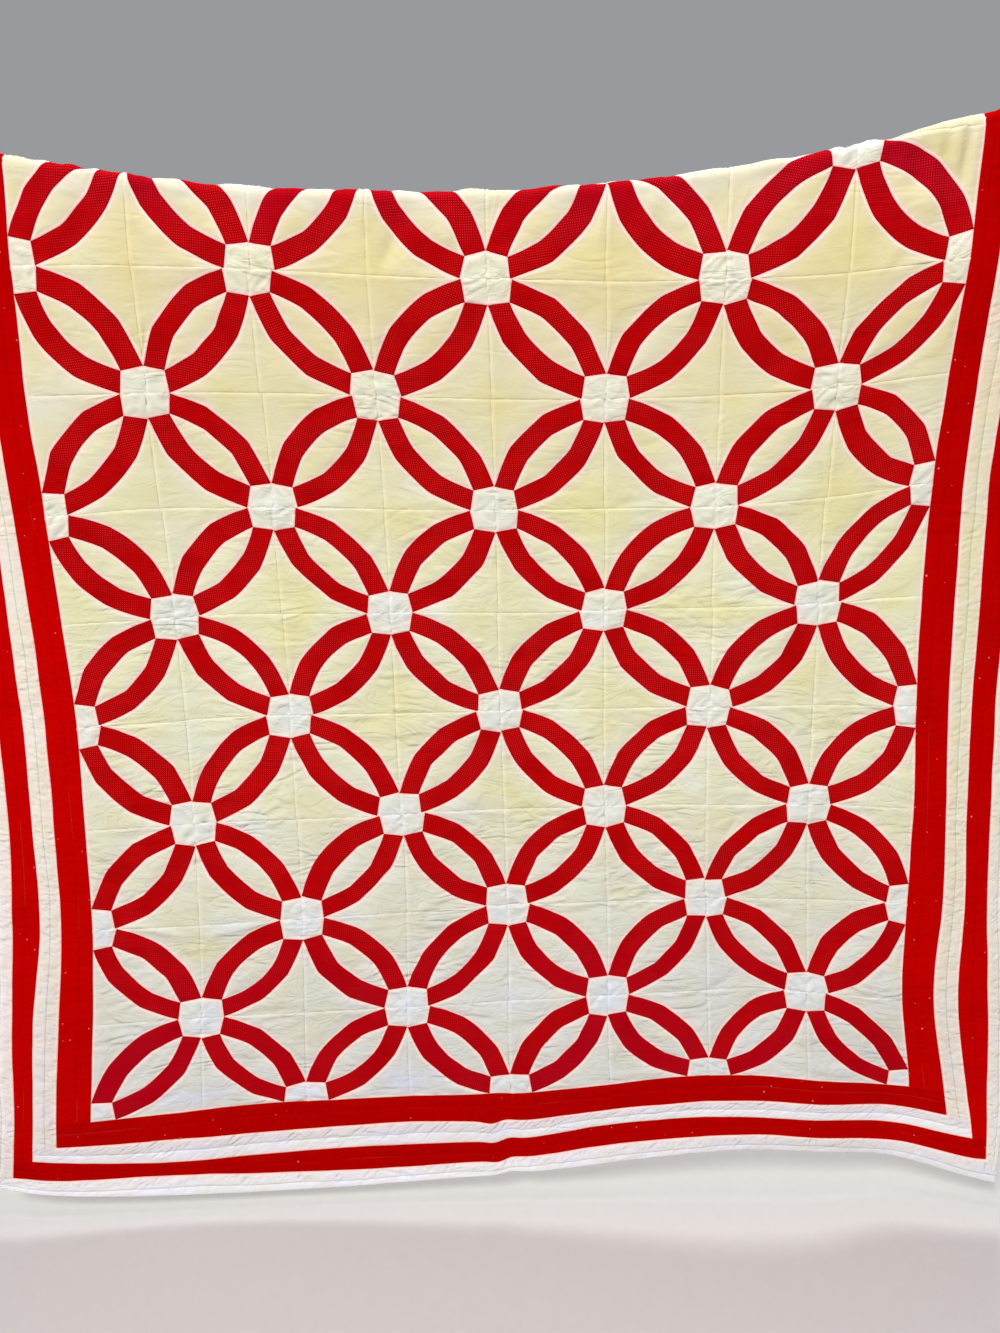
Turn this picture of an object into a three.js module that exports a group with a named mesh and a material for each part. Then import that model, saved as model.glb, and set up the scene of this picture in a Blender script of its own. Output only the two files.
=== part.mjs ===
// Double wedding ring quilt, hung folded over a sagging line.
// Millimetres, +Z up. The front flap faces -Y. The origin is on top of the line, at the quilt's middle.
//
// Every point of the cloth has two measures, both in millimetres:
//   across - from the pieced middle's left edge, to the right
//   along  - from the pieced middle's head edge, which hangs behind, over the line and down the front
import * as THREE from 'three';

// The quilt laid flat.
const BLOCK = 190;
const BLOCKS_ACROSS = 8;
const BLOCKS_ALONG = 10;
const FIELD_WIDTH = BLOCK * BLOCKS_ACROSS;
const FIELD_LENGTH = BLOCK * BLOCKS_ALONG;
const THICKNESS = 4;
const SEAM_GAP = 0.3;

const MIDDLE_COLOUR = 0xd8cfa8;
const COTTON_ROUGHNESS = 0.9;

// Borders from the inside out.
const BORDERS = [
  { name: 'inner_red', width: 58, colour: 0xb80a10 },
  { name: 'cream', width: 42, colour: 0xddd6bd },
  { name: 'outer_red', width: 45, colour: 0xb80a10 },
  { name: 'outer_white', width: 38, colour: 0xe8e4e2 },
];
const BORDER_TOTAL = BORDERS.reduce((sum, border) => sum + border.width, 0);

// The turn over the line: the cloth's mid-surface follows a half circle of this radius.
const TURN_RADIUS = 12;
const TURN_LENGTH = Math.PI * TURN_RADIUS;

// The line sags as a shallow parabola, lowest a little left of the middle.
const SAG_PER_MM = 0.00014;
const SAG_LOW_X = -150;

// How the front flap hangs: a row for every second seam between blocks, from just below the line, and the hem.
//   along  - where the row lies on the cloth
//   fall   - how far it hangs below the origin at five places: left edge, left quarter, middle, right quarter
//            and right edge
//   bulge  - how far it stands back (+) or forward (-) of a plumb sheet at the same five places
//   spread - sideways place of the left edge, the middle and the right edge
const HANG = [
  { along: 380, fall: [104, 112, 130, 125, 76], bulge: [0, 0, 0, 0, 0], spread: [-950, -27, 926] },
  { along: 760, fall: [512, 488, 493, 478, 421], bulge: [8, 26, 30, 28, 32], spread: [-940, -13, 912] },
  { along: 1140, fall: [883, 855, 847, 837, 838], bulge: [8, 32, 44, 44, 40], spread: [-925, -3, 913] },
  { along: 1520, fall: [1250, 1241, 1220, 1203, 1220], bulge: [-6, 18, 38, 40, 26], spread: [-930, 9, 922] },
  { along: 1900, fall: [1628, 1608, 1595, 1570, 1604], bulge: [-38, -2, 14, 26, 4], spread: [-952, 17, 960] },
  { along: 2083, fall: [1780, 1789, 1760, 1716, 1764], bulge: [-52, -14, 2, 10, -20], spread: [-972, 40, 955] },
];
const TOP_ROW = HANG[0];

// Soft folds laid over that hang.
//   across     - the fold's middle, where it starts
//   width      - from its middle to where it has nearly died away
//   bulge      - back (+) or forward (-) at its middle
//   start, end - how far below the turn it begins and ends, along the cloth
//   lean       - how far it drifts to the right for each millimetre down
const FOLDS = [
  { across: 637, width: 26, bulge: 5, start: 0, end: 110, lean: -0.35 },
  { across: 700, width: 22, bulge: -4, start: 0, end: 80, lean: 0.1 },
  { across: 1419, width: 32, bulge: 6, start: 0, end: 90, lean: 0.05 },
  { across: 1486, width: 40, bulge: 5, start: 10, end: 190, lean: -0.08 },
  { across: 250, width: 110, bulge: 9, start: 200, end: 1300, lean: -0.03 },
  { across: 1180, width: 130, bulge: -9, start: 260, end: 1500, lean: 0.04 },
  { across: 820, width: 120, bulge: 8, start: 500, end: 1650, lean: -0.06 },
  { across: 1130, width: 90, bulge: 9, start: 1100, end: 1720, lean: 0.25 },
  { across: 742, width: 38, bulge: 7, start: 1560, end: 1980, lean: 0 },
  { across: 1500, width: 170, bulge: 30, start: 1480, end: 2400, lean: 0 },
  { across: -183, width: 120, bulge: 20, start: 1700, end: 2400, lean: 0 },
];

// The part of a fold's length over which it fades in, and out again.
const FOLD_FADE = 0.35;

// Half the distance over which the cloth's slope is measured.
const PROBE = 0.5;

// Grid steps.
const COLUMNS = 24;
const TURN_STEPS = 8;
const STEPS_BEHIND = 4;
const STEPS_ABOVE_TOP_ROW = 2;
const STEPS_PER_BLOCK = 3;
const BLOCKS_BELOW_TOP_ROW = (FIELD_LENGTH - TOP_ROW.along) / BLOCK;

// A smooth curve through values at given stations: each stretch is a cubic whose slope at a station is that
// of the straight line between its neighbours.
function throughStations(stations, values, at) {
  const last = stations.length - 1;
  let k = 0;
  while (k < last - 1 && at > stations[k + 1]) {
    k += 1;
  }
  const slopeAt = (i) => {
    const low = Math.max(i - 1, 0);
    const high = Math.min(i + 1, last);
    return (values[high] - values[low]) / (stations[high] - stations[low]);
  };
  const span = stations[k + 1] - stations[k];
  const t = (at - stations[k]) / span;
  if (t < 0) {
    return values[0] + slopeAt(0) * (at - stations[0]);
  }
  if (t > 1) {
    return values[last] + slopeAt(last) * (at - stations[last]);
  }
  const rise = values[k + 1] - values[k];
  const startSlope = slopeAt(k) * span;
  const endSlope = slopeAt(k + 1) * span;
  const bend = startSlope + endSlope - 2 * rise;
  return values[k] + startSlope * t + (3 * rise - 2 * startSlope - endSlope) * t * t + bend * t * t * t;
}

const LEFT_EDGE = -BORDER_TOTAL;
const RIGHT_EDGE = FIELD_WIDTH + BORDER_TOTAL;
const QUARTER = (RIGHT_EDGE - LEFT_EDGE) / 4;
const FIVE_PLACES = [0, 1, 2, 3, 4].map((k) => LEFT_EDGE + k * QUARTER);
const THREE_PLACES = [FIVE_PLACES[0], FIVE_PLACES[2], FIVE_PLACES[4]];
const HANG_STATIONS = HANG.map((row) => row.along);

// One measure of the hang at any place: first across each row, then down the rows.
function hangAt(measure, places, across, along) {
  const acrossRows = HANG.map((row) => throughStations(places, row[measure], across));
  return throughStations(HANG_STATIONS, acrossRows, along);
}

function lineHeight(x) {
  return SAG_PER_MM * ((x - SAG_LOW_X) ** 2 - SAG_LOW_X ** 2);
}

// Where the cloth turns over the line at a given place across: the height of the turn's centre, and the
// measure along the cloth at which the front flap leaves the turn.
function turnAt(across) {
  const x = throughStations(THREE_PLACES, TOP_ROW.spread, across);
  const centreHeight = lineHeight(x) + THICKNESS / 2 - TURN_RADIUS;
  const topRowHeight = -throughStations(FIVE_PLACES, TOP_ROW.fall, across);
  return { centreHeight, frontStart: TOP_ROW.along - (centreHeight - topRowHeight) };
}

function smoothStep(low, high, value) {
  const t = Math.min(Math.max((value - low) / (high - low), 0), 1);
  return t * t * (3 - 2 * t);
}

// The sum of the soft folds, each a bell across and faded in and out over a part of its length at its ends.
function foldBulge(across, below) {
  return FOLDS.reduce((sum, fold) => {
    const middle = fold.across + fold.lean * (below - fold.start);
    const bell = Math.exp(-(((across - middle) / fold.width) ** 2) * 2);
    const fade = (fold.end - fold.start) * FOLD_FADE;
    const fadeIn = smoothStep(fold.start - 1, fold.start + fade, below);
    const fadeOut = 1 - smoothStep(fold.end - fade, fold.end, below);
    return sum + fold.bulge * bell * fadeIn * fadeOut;
  }, 0);
}

// The cloth's mid-surface.
function clothPoint(across, along) {
  const { centreHeight, frontStart } = turnAt(across);
  const topX = throughStations(THREE_PLACES, TOP_ROW.spread, across);
  const below = along - frontStart;
  if (below >= 0) {
    const onFlap = along >= TOP_ROW.along;
    const x = onFlap ? hangAt('spread', THREE_PLACES, across, along) : topX;
    const z = onFlap ? -hangAt('fall', FIVE_PLACES, across, along) : centreHeight - below;
    const bulge = onFlap ? hangAt('bulge', FIVE_PLACES, across, along) : 0;
    return new THREE.Vector3(x, -TURN_RADIUS + bulge + foldBulge(across, below), z);
  }
  if (below > -TURN_LENGTH) {
    const angle = -below / TURN_RADIUS;
    const forward = -TURN_RADIUS * Math.cos(angle);
    return new THREE.Vector3(topX, forward, centreHeight + TURN_RADIUS * Math.sin(angle));
  }
  // Behind the line the cloth hangs plumb, and lies along the same bulges as the front flap.
  const behind = -below - TURN_LENGTH;
  const mirrored = frontStart + behind;
  const bulge = mirrored > TOP_ROW.along ? hangAt('bulge', FIVE_PLACES, across, mirrored) : 0;
  return new THREE.Vector3(topX, TURN_RADIUS + bulge + foldBulge(across, behind), centreHeight - behind);
}

// The way out of the patchwork face: down the cloth crossed with across it.
function clothNormal(across, along) {
  const acrossCloth = clothPoint(across + PROBE, along).sub(clothPoint(across - PROBE, along));
  const downCloth = clothPoint(across, along + PROBE).sub(clothPoint(across, along - PROBE));
  return downCloth.cross(acrossCloth).normalize();
}

// A closed sheet over a grid: two faces half the thickness either side of the mid-surface, and a wall round
// the edge. acrossStations lists the columns, and alongStations(across) the places along the cloth in one.
function sheetGeometry(acrossStations, alongStations) {
  const columns = acrossStations.length;
  const rows = alongStations(acrossStations[0]).length;
  const positions = [];
  for (const side of [0.5, -0.5]) {
    for (const across of acrossStations) {
      for (const along of alongStations(across)) {
        const point = clothPoint(across, along);
        point.addScaledVector(clothNormal(across, along), side * THICKNESS);
        positions.push(point.x, point.y, point.z);
      }
    }
  }
  const front = (i, j) => i * rows + j;
  const rear = (i, j) => columns * rows + i * rows + j;
  const faces = [];
  const quad = (a, b, c, d) => faces.push(a, b, c, a, c, d);
  for (let i = 0; i < columns - 1; i += 1) {
    for (let j = 0; j < rows - 1; j += 1) {
      quad(front(i, j), front(i, j + 1), front(i + 1, j + 1), front(i + 1, j));
      quad(rear(i, j), rear(i + 1, j), rear(i + 1, j + 1), rear(i, j + 1));
    }
    quad(front(i, 0), front(i + 1, 0), rear(i + 1, 0), rear(i, 0));
    quad(front(i + 1, rows - 1), front(i, rows - 1), rear(i, rows - 1), rear(i + 1, rows - 1));
  }
  for (let j = 0; j < rows - 1; j += 1) {
    quad(front(0, j + 1), front(0, j), rear(0, j), rear(0, j + 1));
    quad(front(columns - 1, j), front(columns - 1, j + 1), rear(columns - 1, j + 1), rear(columns - 1, j));
  }
  const geometry = new THREE.BufferGeometry();
  geometry.setAttribute('position', new THREE.Float32BufferAttribute(positions, 3));
  geometry.setIndex(faces);
  geometry.computeVertexNormals();
  return geometry;
}

// Evenly spaced stations from low to high, both included.
function evenStations(low, high, steps) {
  return Array.from({ length: steps + 1 }, (_, k) => low + ((high - low) * k) / steps);
}

// Every seam between strips, in one direction, on both sides of a middle of the given size.
function borderSeams(middleSize) {
  const seams = [0, middleSize];
  let out = 0;
  for (const border of BORDERS) {
    out += border.width;
    seams.push(-out, middleSize + out);
  }
  return seams;
}

// The given stations that lie well inside a range, in order, with the range's own ends.
function cutToRange(stations, low, high) {
  const inside = stations.filter((station) => station > low + 1 && station < high - 1);
  return [low, ...inside.sort((a, b) => a - b), high];
}

// Stations down a strip that passes over the line: even behind it, close round the turn, then from block to
// block down the front.
function stationsOverLine(head, foot) {
  return (across) => {
    const { frontStart } = turnAt(across);
    const turnStart = frontStart - TURN_LENGTH;
    const stations = [
      ...borderSeams(FIELD_LENGTH),
      ...evenStations(0, turnStart, STEPS_BEHIND).slice(1, -1),
      ...evenStations(turnStart, frontStart, TURN_STEPS),
      ...evenStations(frontStart, TOP_ROW.along, STEPS_ABOVE_TOP_ROW).slice(1, -1),
      ...evenStations(TOP_ROW.along, FIELD_LENGTH, BLOCKS_BELOW_TOP_ROW * STEPS_PER_BLOCK).slice(0, -1),
    ];
    return cutToRange(stations, head, foot);
  };
}

// Stations across the whole quilt: the columns of the pieced middle, with the border seams outside them.
function columnStations(low, high) {
  const columns = evenStations(0, FIELD_WIDTH, COLUMNS).slice(1, -1);
  return cutToRange([...columns, ...borderSeams(FIELD_WIDTH)], low, high);
}

function clothMesh(name, geometry, colour) {
  const finish = { color: colour, roughness: COTTON_ROUGHNESS, metalness: 0, name };
  const material = new THREE.MeshStandardMaterial(finish);
  const mesh = new THREE.Mesh(geometry, material);
  mesh.name = name;
  return mesh;
}

function piecedMiddle() {
  const half = SEAM_GAP / 2;
  const geometry = sheetGeometry(
    columnStations(half, FIELD_WIDTH - half),
    stationsOverLine(half, FIELD_LENGTH - half),
  );
  return clothMesh('pieced_middle', geometry, MIDDLE_COLOUR);
}

// The four strips of one border: two sides as long as what they are sewn to, then two ends across the whole
// width.
function borderStrips(border, inner) {
  const half = SEAM_GAP / 2;
  const outer = inner + border.width;
  const sideStations = stationsOverLine(-inner + half, FIELD_LENGTH + inner - half);
  const endColumns = columnStations(-outer + half, FIELD_WIDTH + outer - half);
  const head = [-outer + half, -inner - half];
  const foot = [FIELD_LENGTH + inner + half, FIELD_LENGTH + outer - half];
  const shapes = {
    left: sheetGeometry([-outer + half, -inner - half], sideStations),
    right: sheetGeometry([FIELD_WIDTH + inner + half, FIELD_WIDTH + outer - half], sideStations),
    head: sheetGeometry(endColumns, () => head),
    foot: sheetGeometry(endColumns, () => foot),
  };
  return Object.entries(shapes).map(([side, geometry]) =>
    clothMesh(`${border.name}_${side}`, geometry, border.colour),
  );
}

const quilt = new THREE.Group();
quilt.add(piecedMiddle());
let sewnSoFar = 0;
for (const border of BORDERS) {
  quilt.add(...borderStrips(border, sewnSoFar));
  sewnSoFar += border.width;
}

export default quilt;
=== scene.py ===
"""The looks of a double wedding ring quilt, hung folded over a sagging line.

Every patch of the pieced middle, the sixteen border strips and the backing are sheets worked out on the
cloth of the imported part. Tables and flat measures are in millimetres; meshes are in metres, +Z up, and the
patchwork of the front flap faces -Y. A point of the cloth has two flat measures:
    across - from the pieced middle's left edge, to the right
    along  - from its head edge, which hangs behind, over the line and down the front
"""
import math

import bpy
import numpy as np
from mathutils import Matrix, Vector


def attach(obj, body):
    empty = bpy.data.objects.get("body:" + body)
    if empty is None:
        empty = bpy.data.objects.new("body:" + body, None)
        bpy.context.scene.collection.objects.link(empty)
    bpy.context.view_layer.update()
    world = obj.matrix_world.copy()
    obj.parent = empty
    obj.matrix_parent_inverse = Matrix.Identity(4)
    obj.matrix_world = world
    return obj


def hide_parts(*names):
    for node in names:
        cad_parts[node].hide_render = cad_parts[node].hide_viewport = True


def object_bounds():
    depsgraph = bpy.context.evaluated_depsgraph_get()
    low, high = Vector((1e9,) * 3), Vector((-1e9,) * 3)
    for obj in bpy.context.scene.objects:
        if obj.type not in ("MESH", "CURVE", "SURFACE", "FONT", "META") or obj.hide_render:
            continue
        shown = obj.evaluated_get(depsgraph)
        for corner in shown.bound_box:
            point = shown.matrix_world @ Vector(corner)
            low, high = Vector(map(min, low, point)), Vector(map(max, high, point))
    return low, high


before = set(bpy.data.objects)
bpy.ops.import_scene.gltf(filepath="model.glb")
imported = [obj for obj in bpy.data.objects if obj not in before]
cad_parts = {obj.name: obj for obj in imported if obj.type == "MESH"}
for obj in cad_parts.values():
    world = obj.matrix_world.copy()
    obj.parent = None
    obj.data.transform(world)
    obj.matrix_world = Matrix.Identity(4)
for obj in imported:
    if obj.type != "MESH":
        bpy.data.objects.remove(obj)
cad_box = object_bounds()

bl_info = {
    "name": "Double wedding ring quilt",
    "version": (1, 0, 0),
    "blender": (4, 5, 0),
    "location": "View3D > Sidebar > Quilt",
    "description": "Builds a hung, hand-pieced double wedding ring quilt patch by patch",
    "category": "Object",
}

MM = 0.001

# The quilt laid flat.
BLOCK = 190.0
BLOCKS_ACROSS = 8
BLOCKS_ALONG = 10
FIELD_WIDTH = BLOCK * BLOCKS_ACROSS
FIELD_LENGTH = BLOCK * BLOCKS_ALONG
THICKNESS = 4.0
HALF = THICKNESS / 2

# The quilt's sides; the first two run up and down.
SIDES = ("left", "right", "head", "foot")
UPRIGHT = SIDES[:2]

# Borders from the inside out, and where the seams between them lie, from the pieced middle outwards.
BORDERS = ("inner_red", "cream", "outer_red", "outer_white")
BORDER_SEAMS = (0.0, 58.0, 100.0, 145.0, 183.0)
BORDER_TOTAL = BORDER_SEAMS[-1]

# The turn over the line, and the line's sag.
TURN_RADIUS = 12.0
TURN_LENGTH = math.pi * TURN_RADIUS
SAG_PER_MM = 0.00014
SAG_LOW_X = -150.0

# How the front flap hangs, as in the part's source: rows at these places along the cloth, with how far each
# falls below the origin and stands back from plumb at five places across, and its sideways place at three.
ROW_ALONG = np.array([380.0, 760.0, 1140.0, 1520.0, 1900.0, 2083.0])
FALL = np.array([
    [104, 112, 130, 125, 76],
    [512, 488, 493, 478, 421],
    [883, 855, 847, 837, 838],
    [1250, 1241, 1220, 1203, 1220],
    [1628, 1608, 1595, 1570, 1604],
    [1780, 1789, 1760, 1716, 1764],
], float)
BULGE = np.array([
    [0, 0, 0, 0, 0],
    [8, 26, 30, 28, 32],
    [8, 32, 44, 44, 40],
    [-6, 18, 38, 40, 26],
    [-38, -2, 14, 26, 4],
    [-52, -14, 2, 10, -20],
], float)
SPREAD = np.array([
    [-950, -27, 926],
    [-940, -13, 912],
    [-925, -3, 913],
    [-930, 9, 922],
    [-952, 17, 960],
    [-972, 40, 955],
], float)
FIVE_PLACES = np.linspace(-BORDER_TOTAL, FIELD_WIDTH + BORDER_TOTAL, 5)
THREE_PLACES = FIVE_PLACES[::2]

# Soft folds over that hang: middle, width, bulge back (+) or forward (-), start and end below the turn, and
# sideways drift for each millimetre down.
FOLDS = (
    (637, 26, 5, 0, 110, -0.35),
    (700, 22, -4, 0, 80, 0.1),
    (1419, 32, 6, 0, 90, 0.05),
    (1486, 40, 5, 10, 190, -0.08),
    (250, 110, 9, 200, 1300, -0.03),
    (1180, 130, -9, 260, 1500, 0.04),
    (820, 120, 8, 500, 1650, -0.06),
    (1130, 90, 9, 1100, 1720, 0.25),
    (742, 38, 7, 1560, 1980, 0.0),
    (1500, 170, 30, 1480, 2400, 0.0),
    (-183, 120, 20, 1700, 2400, 0.0),
)
FOLD_FADE = 0.35

# How unevenly the blocks are pieced, in millimetres.
CORNER_SLIP = 2.2
ROW_SLIP = 3.2
SEAM_WANDER = 2.4
PIECING_SEED = 7

# Distances that stand for no seam near by, and for no red.
FAR = 60.0
NO_RED = 200.0

# How far a patch's edge is tucked under its neighbour, how far down, and how much of a seam's depth a patch
# lies below the cloth's face at its edge.
TUCK = 1.0
TUCK_DROP = 0.5
SEAM_SHARE = 0.45

# Pieces of two rows of blocks each.
PAIRS = BLOCKS_ALONG // 2

RNG = np.random.default_rng(PIECING_SEED)


def length_property(name, description, default, least=0.0):
    """A length in metres."""
    return bpy.props.FloatProperty(
        name=name, description=description, default=default, min=least, unit="LENGTH")


def colour_property(name, description, default):
    """A scene-linear colour."""
    return bpy.props.FloatVectorProperty(
        name=name, description=description, default=default, subtype="COLOR", size=3, min=0, max=1)


class QuiltSizes(bpy.types.PropertyGroup):
    """Sizes of the quilt's finish, in metres."""

    seam_depth: length_property("Seam depth", "How deep a seam lies below a patch's face", 0.0007)
    patch_rise: length_property("Patch rise", "How far a cream patch swells above its seams", 0.0019)
    crease_rise: length_property("Crease rise", "Height of the puckers that run from the seams", 0.0012)
    dot_spacing: length_property("Dot spacing", "Distance between the print's pin dots", 0.0037, 0.001)
    dot_radius: length_property("Dot radius", "Radius of one pin dot", 0.0005, 0.0001)
    rim_width: length_property("Rim width", "Width of the pale rim of a light patch beside red", 0.0056)
    crease_bump: length_property("Crease bump", "Height of the fine creases of washed cotton", 0.0014)
    stitch_pitch: length_property("Stitch pitch", "Distance between quilting stitches", 0.0042, 0.001)
    thread_pitch: length_property("Thread pitch", "Distance between the cotton's threads", 0.00045, 0.0001)
    floor_drop: length_property("Floor drop", "Distance from the hem's lowest part to the floor", 0.035)


class QuiltColours(bpy.types.PropertyGroup):
    """Colours of the cottons, as scene-linear values."""

    cream_head: colour_property("Cream, head", "Cream cotton at the head", (0.775, 0.695, 0.415))
    cream_middle: colour_property("Cream, middle", "Cream cotton half way down", (0.785, 0.765, 0.50))
    cream_foot: colour_property("Cream, foot", "Cream cotton at the foot", (0.69, 0.675, 0.58))
    white: colour_property("White", "White cotton of the squares", (0.80, 0.77, 0.56))
    border_white: colour_property("Border white", "White cotton of the outer border", (0.91, 0.885, 0.865))
    rim: colour_property("Rim", "Pale rim of a light patch beside red", (1.0, 0.77, 0.70))
    print_red: colour_property("Print red", "Ground of the pin-dotted red", (0.45, 0.0, 0.0005))
    dots: colour_property("Pin dots", "Dots of the red print", (0.88, 0.06, 0.07))
    plain_red: colour_property("Plain red", "Plain red of the borders", (0.56, 0.0, 0.0))
    # Painted shade: the red drawn darker where the cotton turns down into a seam.
    seam_shade_red: colour_property("Maroon", "Red cotton where it turns into a seam", (0.24, 0.0, 0.002))
    backing: colour_property("Backing", "Plain cotton of the backing", (0.78, 0.76, 0.69))
    floor: colour_property("Floor", "The floor", (0.60, 0.58, 0.56))


# ---------------------------------------------------------------------------------------------- cloth


def eased(low, high, value):
    """0 below low and 1 above high, with 3t^2 - 2t^3 between."""
    t = np.clip((value - low) / (high - low), 0, 1)
    return t * t * (3 - 2 * t)


def through(stations, values, at):
    """A smooth curve through values at stations: each stretch is a cubic whose slope at a station is that of
    the straight line between its neighbours, and beyond the ends the curve runs on straight. values holds
    one number or one array like at for each station."""
    stations = np.asarray(stations, float)
    last = len(stations) - 1
    values = np.stack([np.broadcast_to(v, at.shape) for v in values])
    low = np.maximum(np.arange(last + 1) - 1, 0)
    high = np.minimum(np.arange(last + 1) + 1, last)
    runs = (stations[high] - stations[low]).reshape(-1, *[1] * at.ndim)
    slopes = (values[high] - values[low]) / runs
    k = np.clip(np.searchsorted(stations, at) - 1, 0, last - 1)
    span = stations[k + 1] - stations[k]
    t = (at - stations[k]) / span
    start = np.take_along_axis(values, k[None], 0)[0]
    end = np.take_along_axis(values, k[None] + 1, 0)[0]
    start_slope = np.take_along_axis(slopes, k[None], 0)[0] * span
    end_slope = np.take_along_axis(slopes, k[None] + 1, 0)[0] * span
    rise = end - start
    bend = start_slope + end_slope - 2 * rise
    curve = start + start_slope * t + (3 * rise - 2 * start_slope - end_slope) * t**2 + bend * t**3
    curve = np.where(t < 0, start + start_slope * t, curve)
    return np.where(t > 1, end + end_slope * (t - 1), curve)


def hang_value(table, places, across, along):
    """One measure of the hang at any place: first across each row of its table, then down the rows."""
    return through(ROW_ALONG, [through(places, row, across) for row in table], along)


def fold_bulge(across, below):
    """The sum of the soft folds, each a bell across, faded in and out along its length."""
    total = np.zeros_like(across)
    for middle, width, bulge, start, end, lean in FOLDS:
        bell = np.exp(-2 * ((across - middle - lean * (below - start)) / width) ** 2)
        fade = (end - start) * FOLD_FADE
        total += bulge * bell * eased(start - 1, start + fade, below) * (1 - eased(end - fade, end, below))
    return total


def turn_place(across):
    """The turn over the line: its sideways place, the height of its centre, which follows the line's sag as
    a parabola, and how far along the cloth the front flap starts below it."""
    top_x = through(THREE_PLACES, SPREAD[0], across)
    centre = SAG_PER_MM * ((top_x - SAG_LOW_X) ** 2 - SAG_LOW_X**2) + HALF - TURN_RADIUS
    return top_x, centre, ROW_ALONG[0] - centre - through(FIVE_PLACES, FALL[0], across)


def cloth_middle(across, along):
    """The middle of the cloth's thickness, in millimetres. Down the front it follows the hang and the folds.
    Above them it goes plumb up to the line, round it on a half circle, and plumb down behind."""
    top_x, centre, front_start = turn_place(across)
    below = along - front_start
    behind = np.maximum(-below - TURN_LENGTH, 0)
    angle = np.clip(-below / TURN_RADIUS, 0, math.pi)
    is_flap, is_front, is_back = along >= ROW_ALONG[0], below >= 0, behind > 0
    x = np.where(is_flap, hang_value(SPREAD, THREE_PLACES, across, along), top_x)
    z = np.where(is_flap, -hang_value(FALL, FIVE_PLACES, across, along), centre - below)
    z = np.where(is_front, z, centre + TURN_RADIUS * np.sin(angle) - behind)
    shared = np.where(is_back, front_start + behind, along)  # the back flap lies along the same bulges
    bulge = np.where(shared > ROW_ALONG[0], hang_value(BULGE, FIVE_PLACES, across, shared), 0)
    bulge = bulge + fold_bulge(across, np.where(is_back, behind, np.maximum(below, 0)))
    y = -TURN_RADIUS * np.cos(angle) + np.where(is_front | is_back, bulge, 0)
    return np.stack([x, y, z], -1)


def on_cloth(flat, out):
    """Points in metres, out millimetres from the cloth's middle towards the patchwork side. The way out is
    down the cloth crossed with across it."""
    across, along = flat[..., 0], flat[..., 1]
    probe = 0.5
    middle = cloth_middle(across, along)
    way_across = cloth_middle(across + probe, along) - middle
    way_down = cloth_middle(across, along + probe) - middle
    normal = np.cross(way_down, way_across)
    normal /= np.linalg.norm(normal, axis=-1, keepdims=True)
    return (middle + normal * out[..., None]) * MM


# Rows and columns of a table of random heights, after which soft_noise repeats.
NOISE_CELLS = 64


def soft_noise(x, y, seed):
    """Smooth random heights from -1 to 1: random values at whole numbers of x and y, blended between them
    by the ease 6t^5 - 15t^4 + 10t^3."""
    table = np.random.default_rng(seed).uniform(-1, 1, (NOISE_CELLS, NOISE_CELLS))
    cell_x, cell_y = np.floor(x).astype(int), np.floor(y).astype(int)
    tx, ty = x - cell_x, y - cell_y
    ease_x = tx**3 * (tx * (6 * tx - 15) + 10)
    ease_y = ty**3 * (ty * (6 * ty - 15) + 10)
    low_y, high_y = cell_y % NOISE_CELLS, (cell_y + 1) % NOISE_CELLS
    near, far = (
        table[column, low_y] * (1 - ease_y) + table[column, high_y] * ease_y
        for column in (cell_x % NOISE_CELLS, (cell_x + 1) % NOISE_CELLS))
    return near * (1 - ease_x) + far * ease_x


def rumple(flat):
    """The slow unevenness of the whole sheet, in millimetres: noise about 70 and 32 mm across, the second on
    turned axes, and the lumps that the wadding makes over the line."""
    x, y = flat[..., 0], flat[..., 1]
    slow = 1.1 * soft_noise(x / 70, y / 70, 11) + 0.55 * soft_noise((x + y) / 45, (y - x) / 45, 12)
    below = y - turn_place(x)[2]
    at_crest = eased(-120, -50, below) * (1 - eased(15, 110, below))
    return slow + at_crest * (2.6 * soft_noise(x / 46, y / 90, 13) + 1.3 * soft_noise(x / 21, y / 60, 14))


def crease_noise(x, y, seed):
    """Narrow ridges with soft crests: 1 - 2.2 sqrt(n^2 + 0.02) of smooth noise n, about zero on the whole."""
    return 1 - 2.2 * np.sqrt(soft_noise(x, y, seed) ** 2 + 0.02)


def wash_creases(flat):
    """Creases of washed cotton, as shares of their full height: ridges drawn out sideways where one slow
    noise is high and slanting ones where it is low, all bent by another and stronger down the quilt."""
    x, y = flat[..., 0], flat[..., 1]
    bend = 30 * soft_noise(x / 120, y / 120, 61)
    level = crease_noise(x / 80, (y + bend) / 17, 62)
    slanting = crease_noise((x + y) / 95, (y - x + bend) / 24, 63)
    share = eased(-0.3, 0.4, soft_noise(x / 90, y / 90, 64))
    patchy = 0.35 + 0.65 * eased(-0.5, 0.5, soft_noise(x / 150, y / 110, 65))
    return (level * share + slanting * (1 - share)) * patchy * (0.4 + 0.6 * eased(450, 1150, y))


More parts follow.
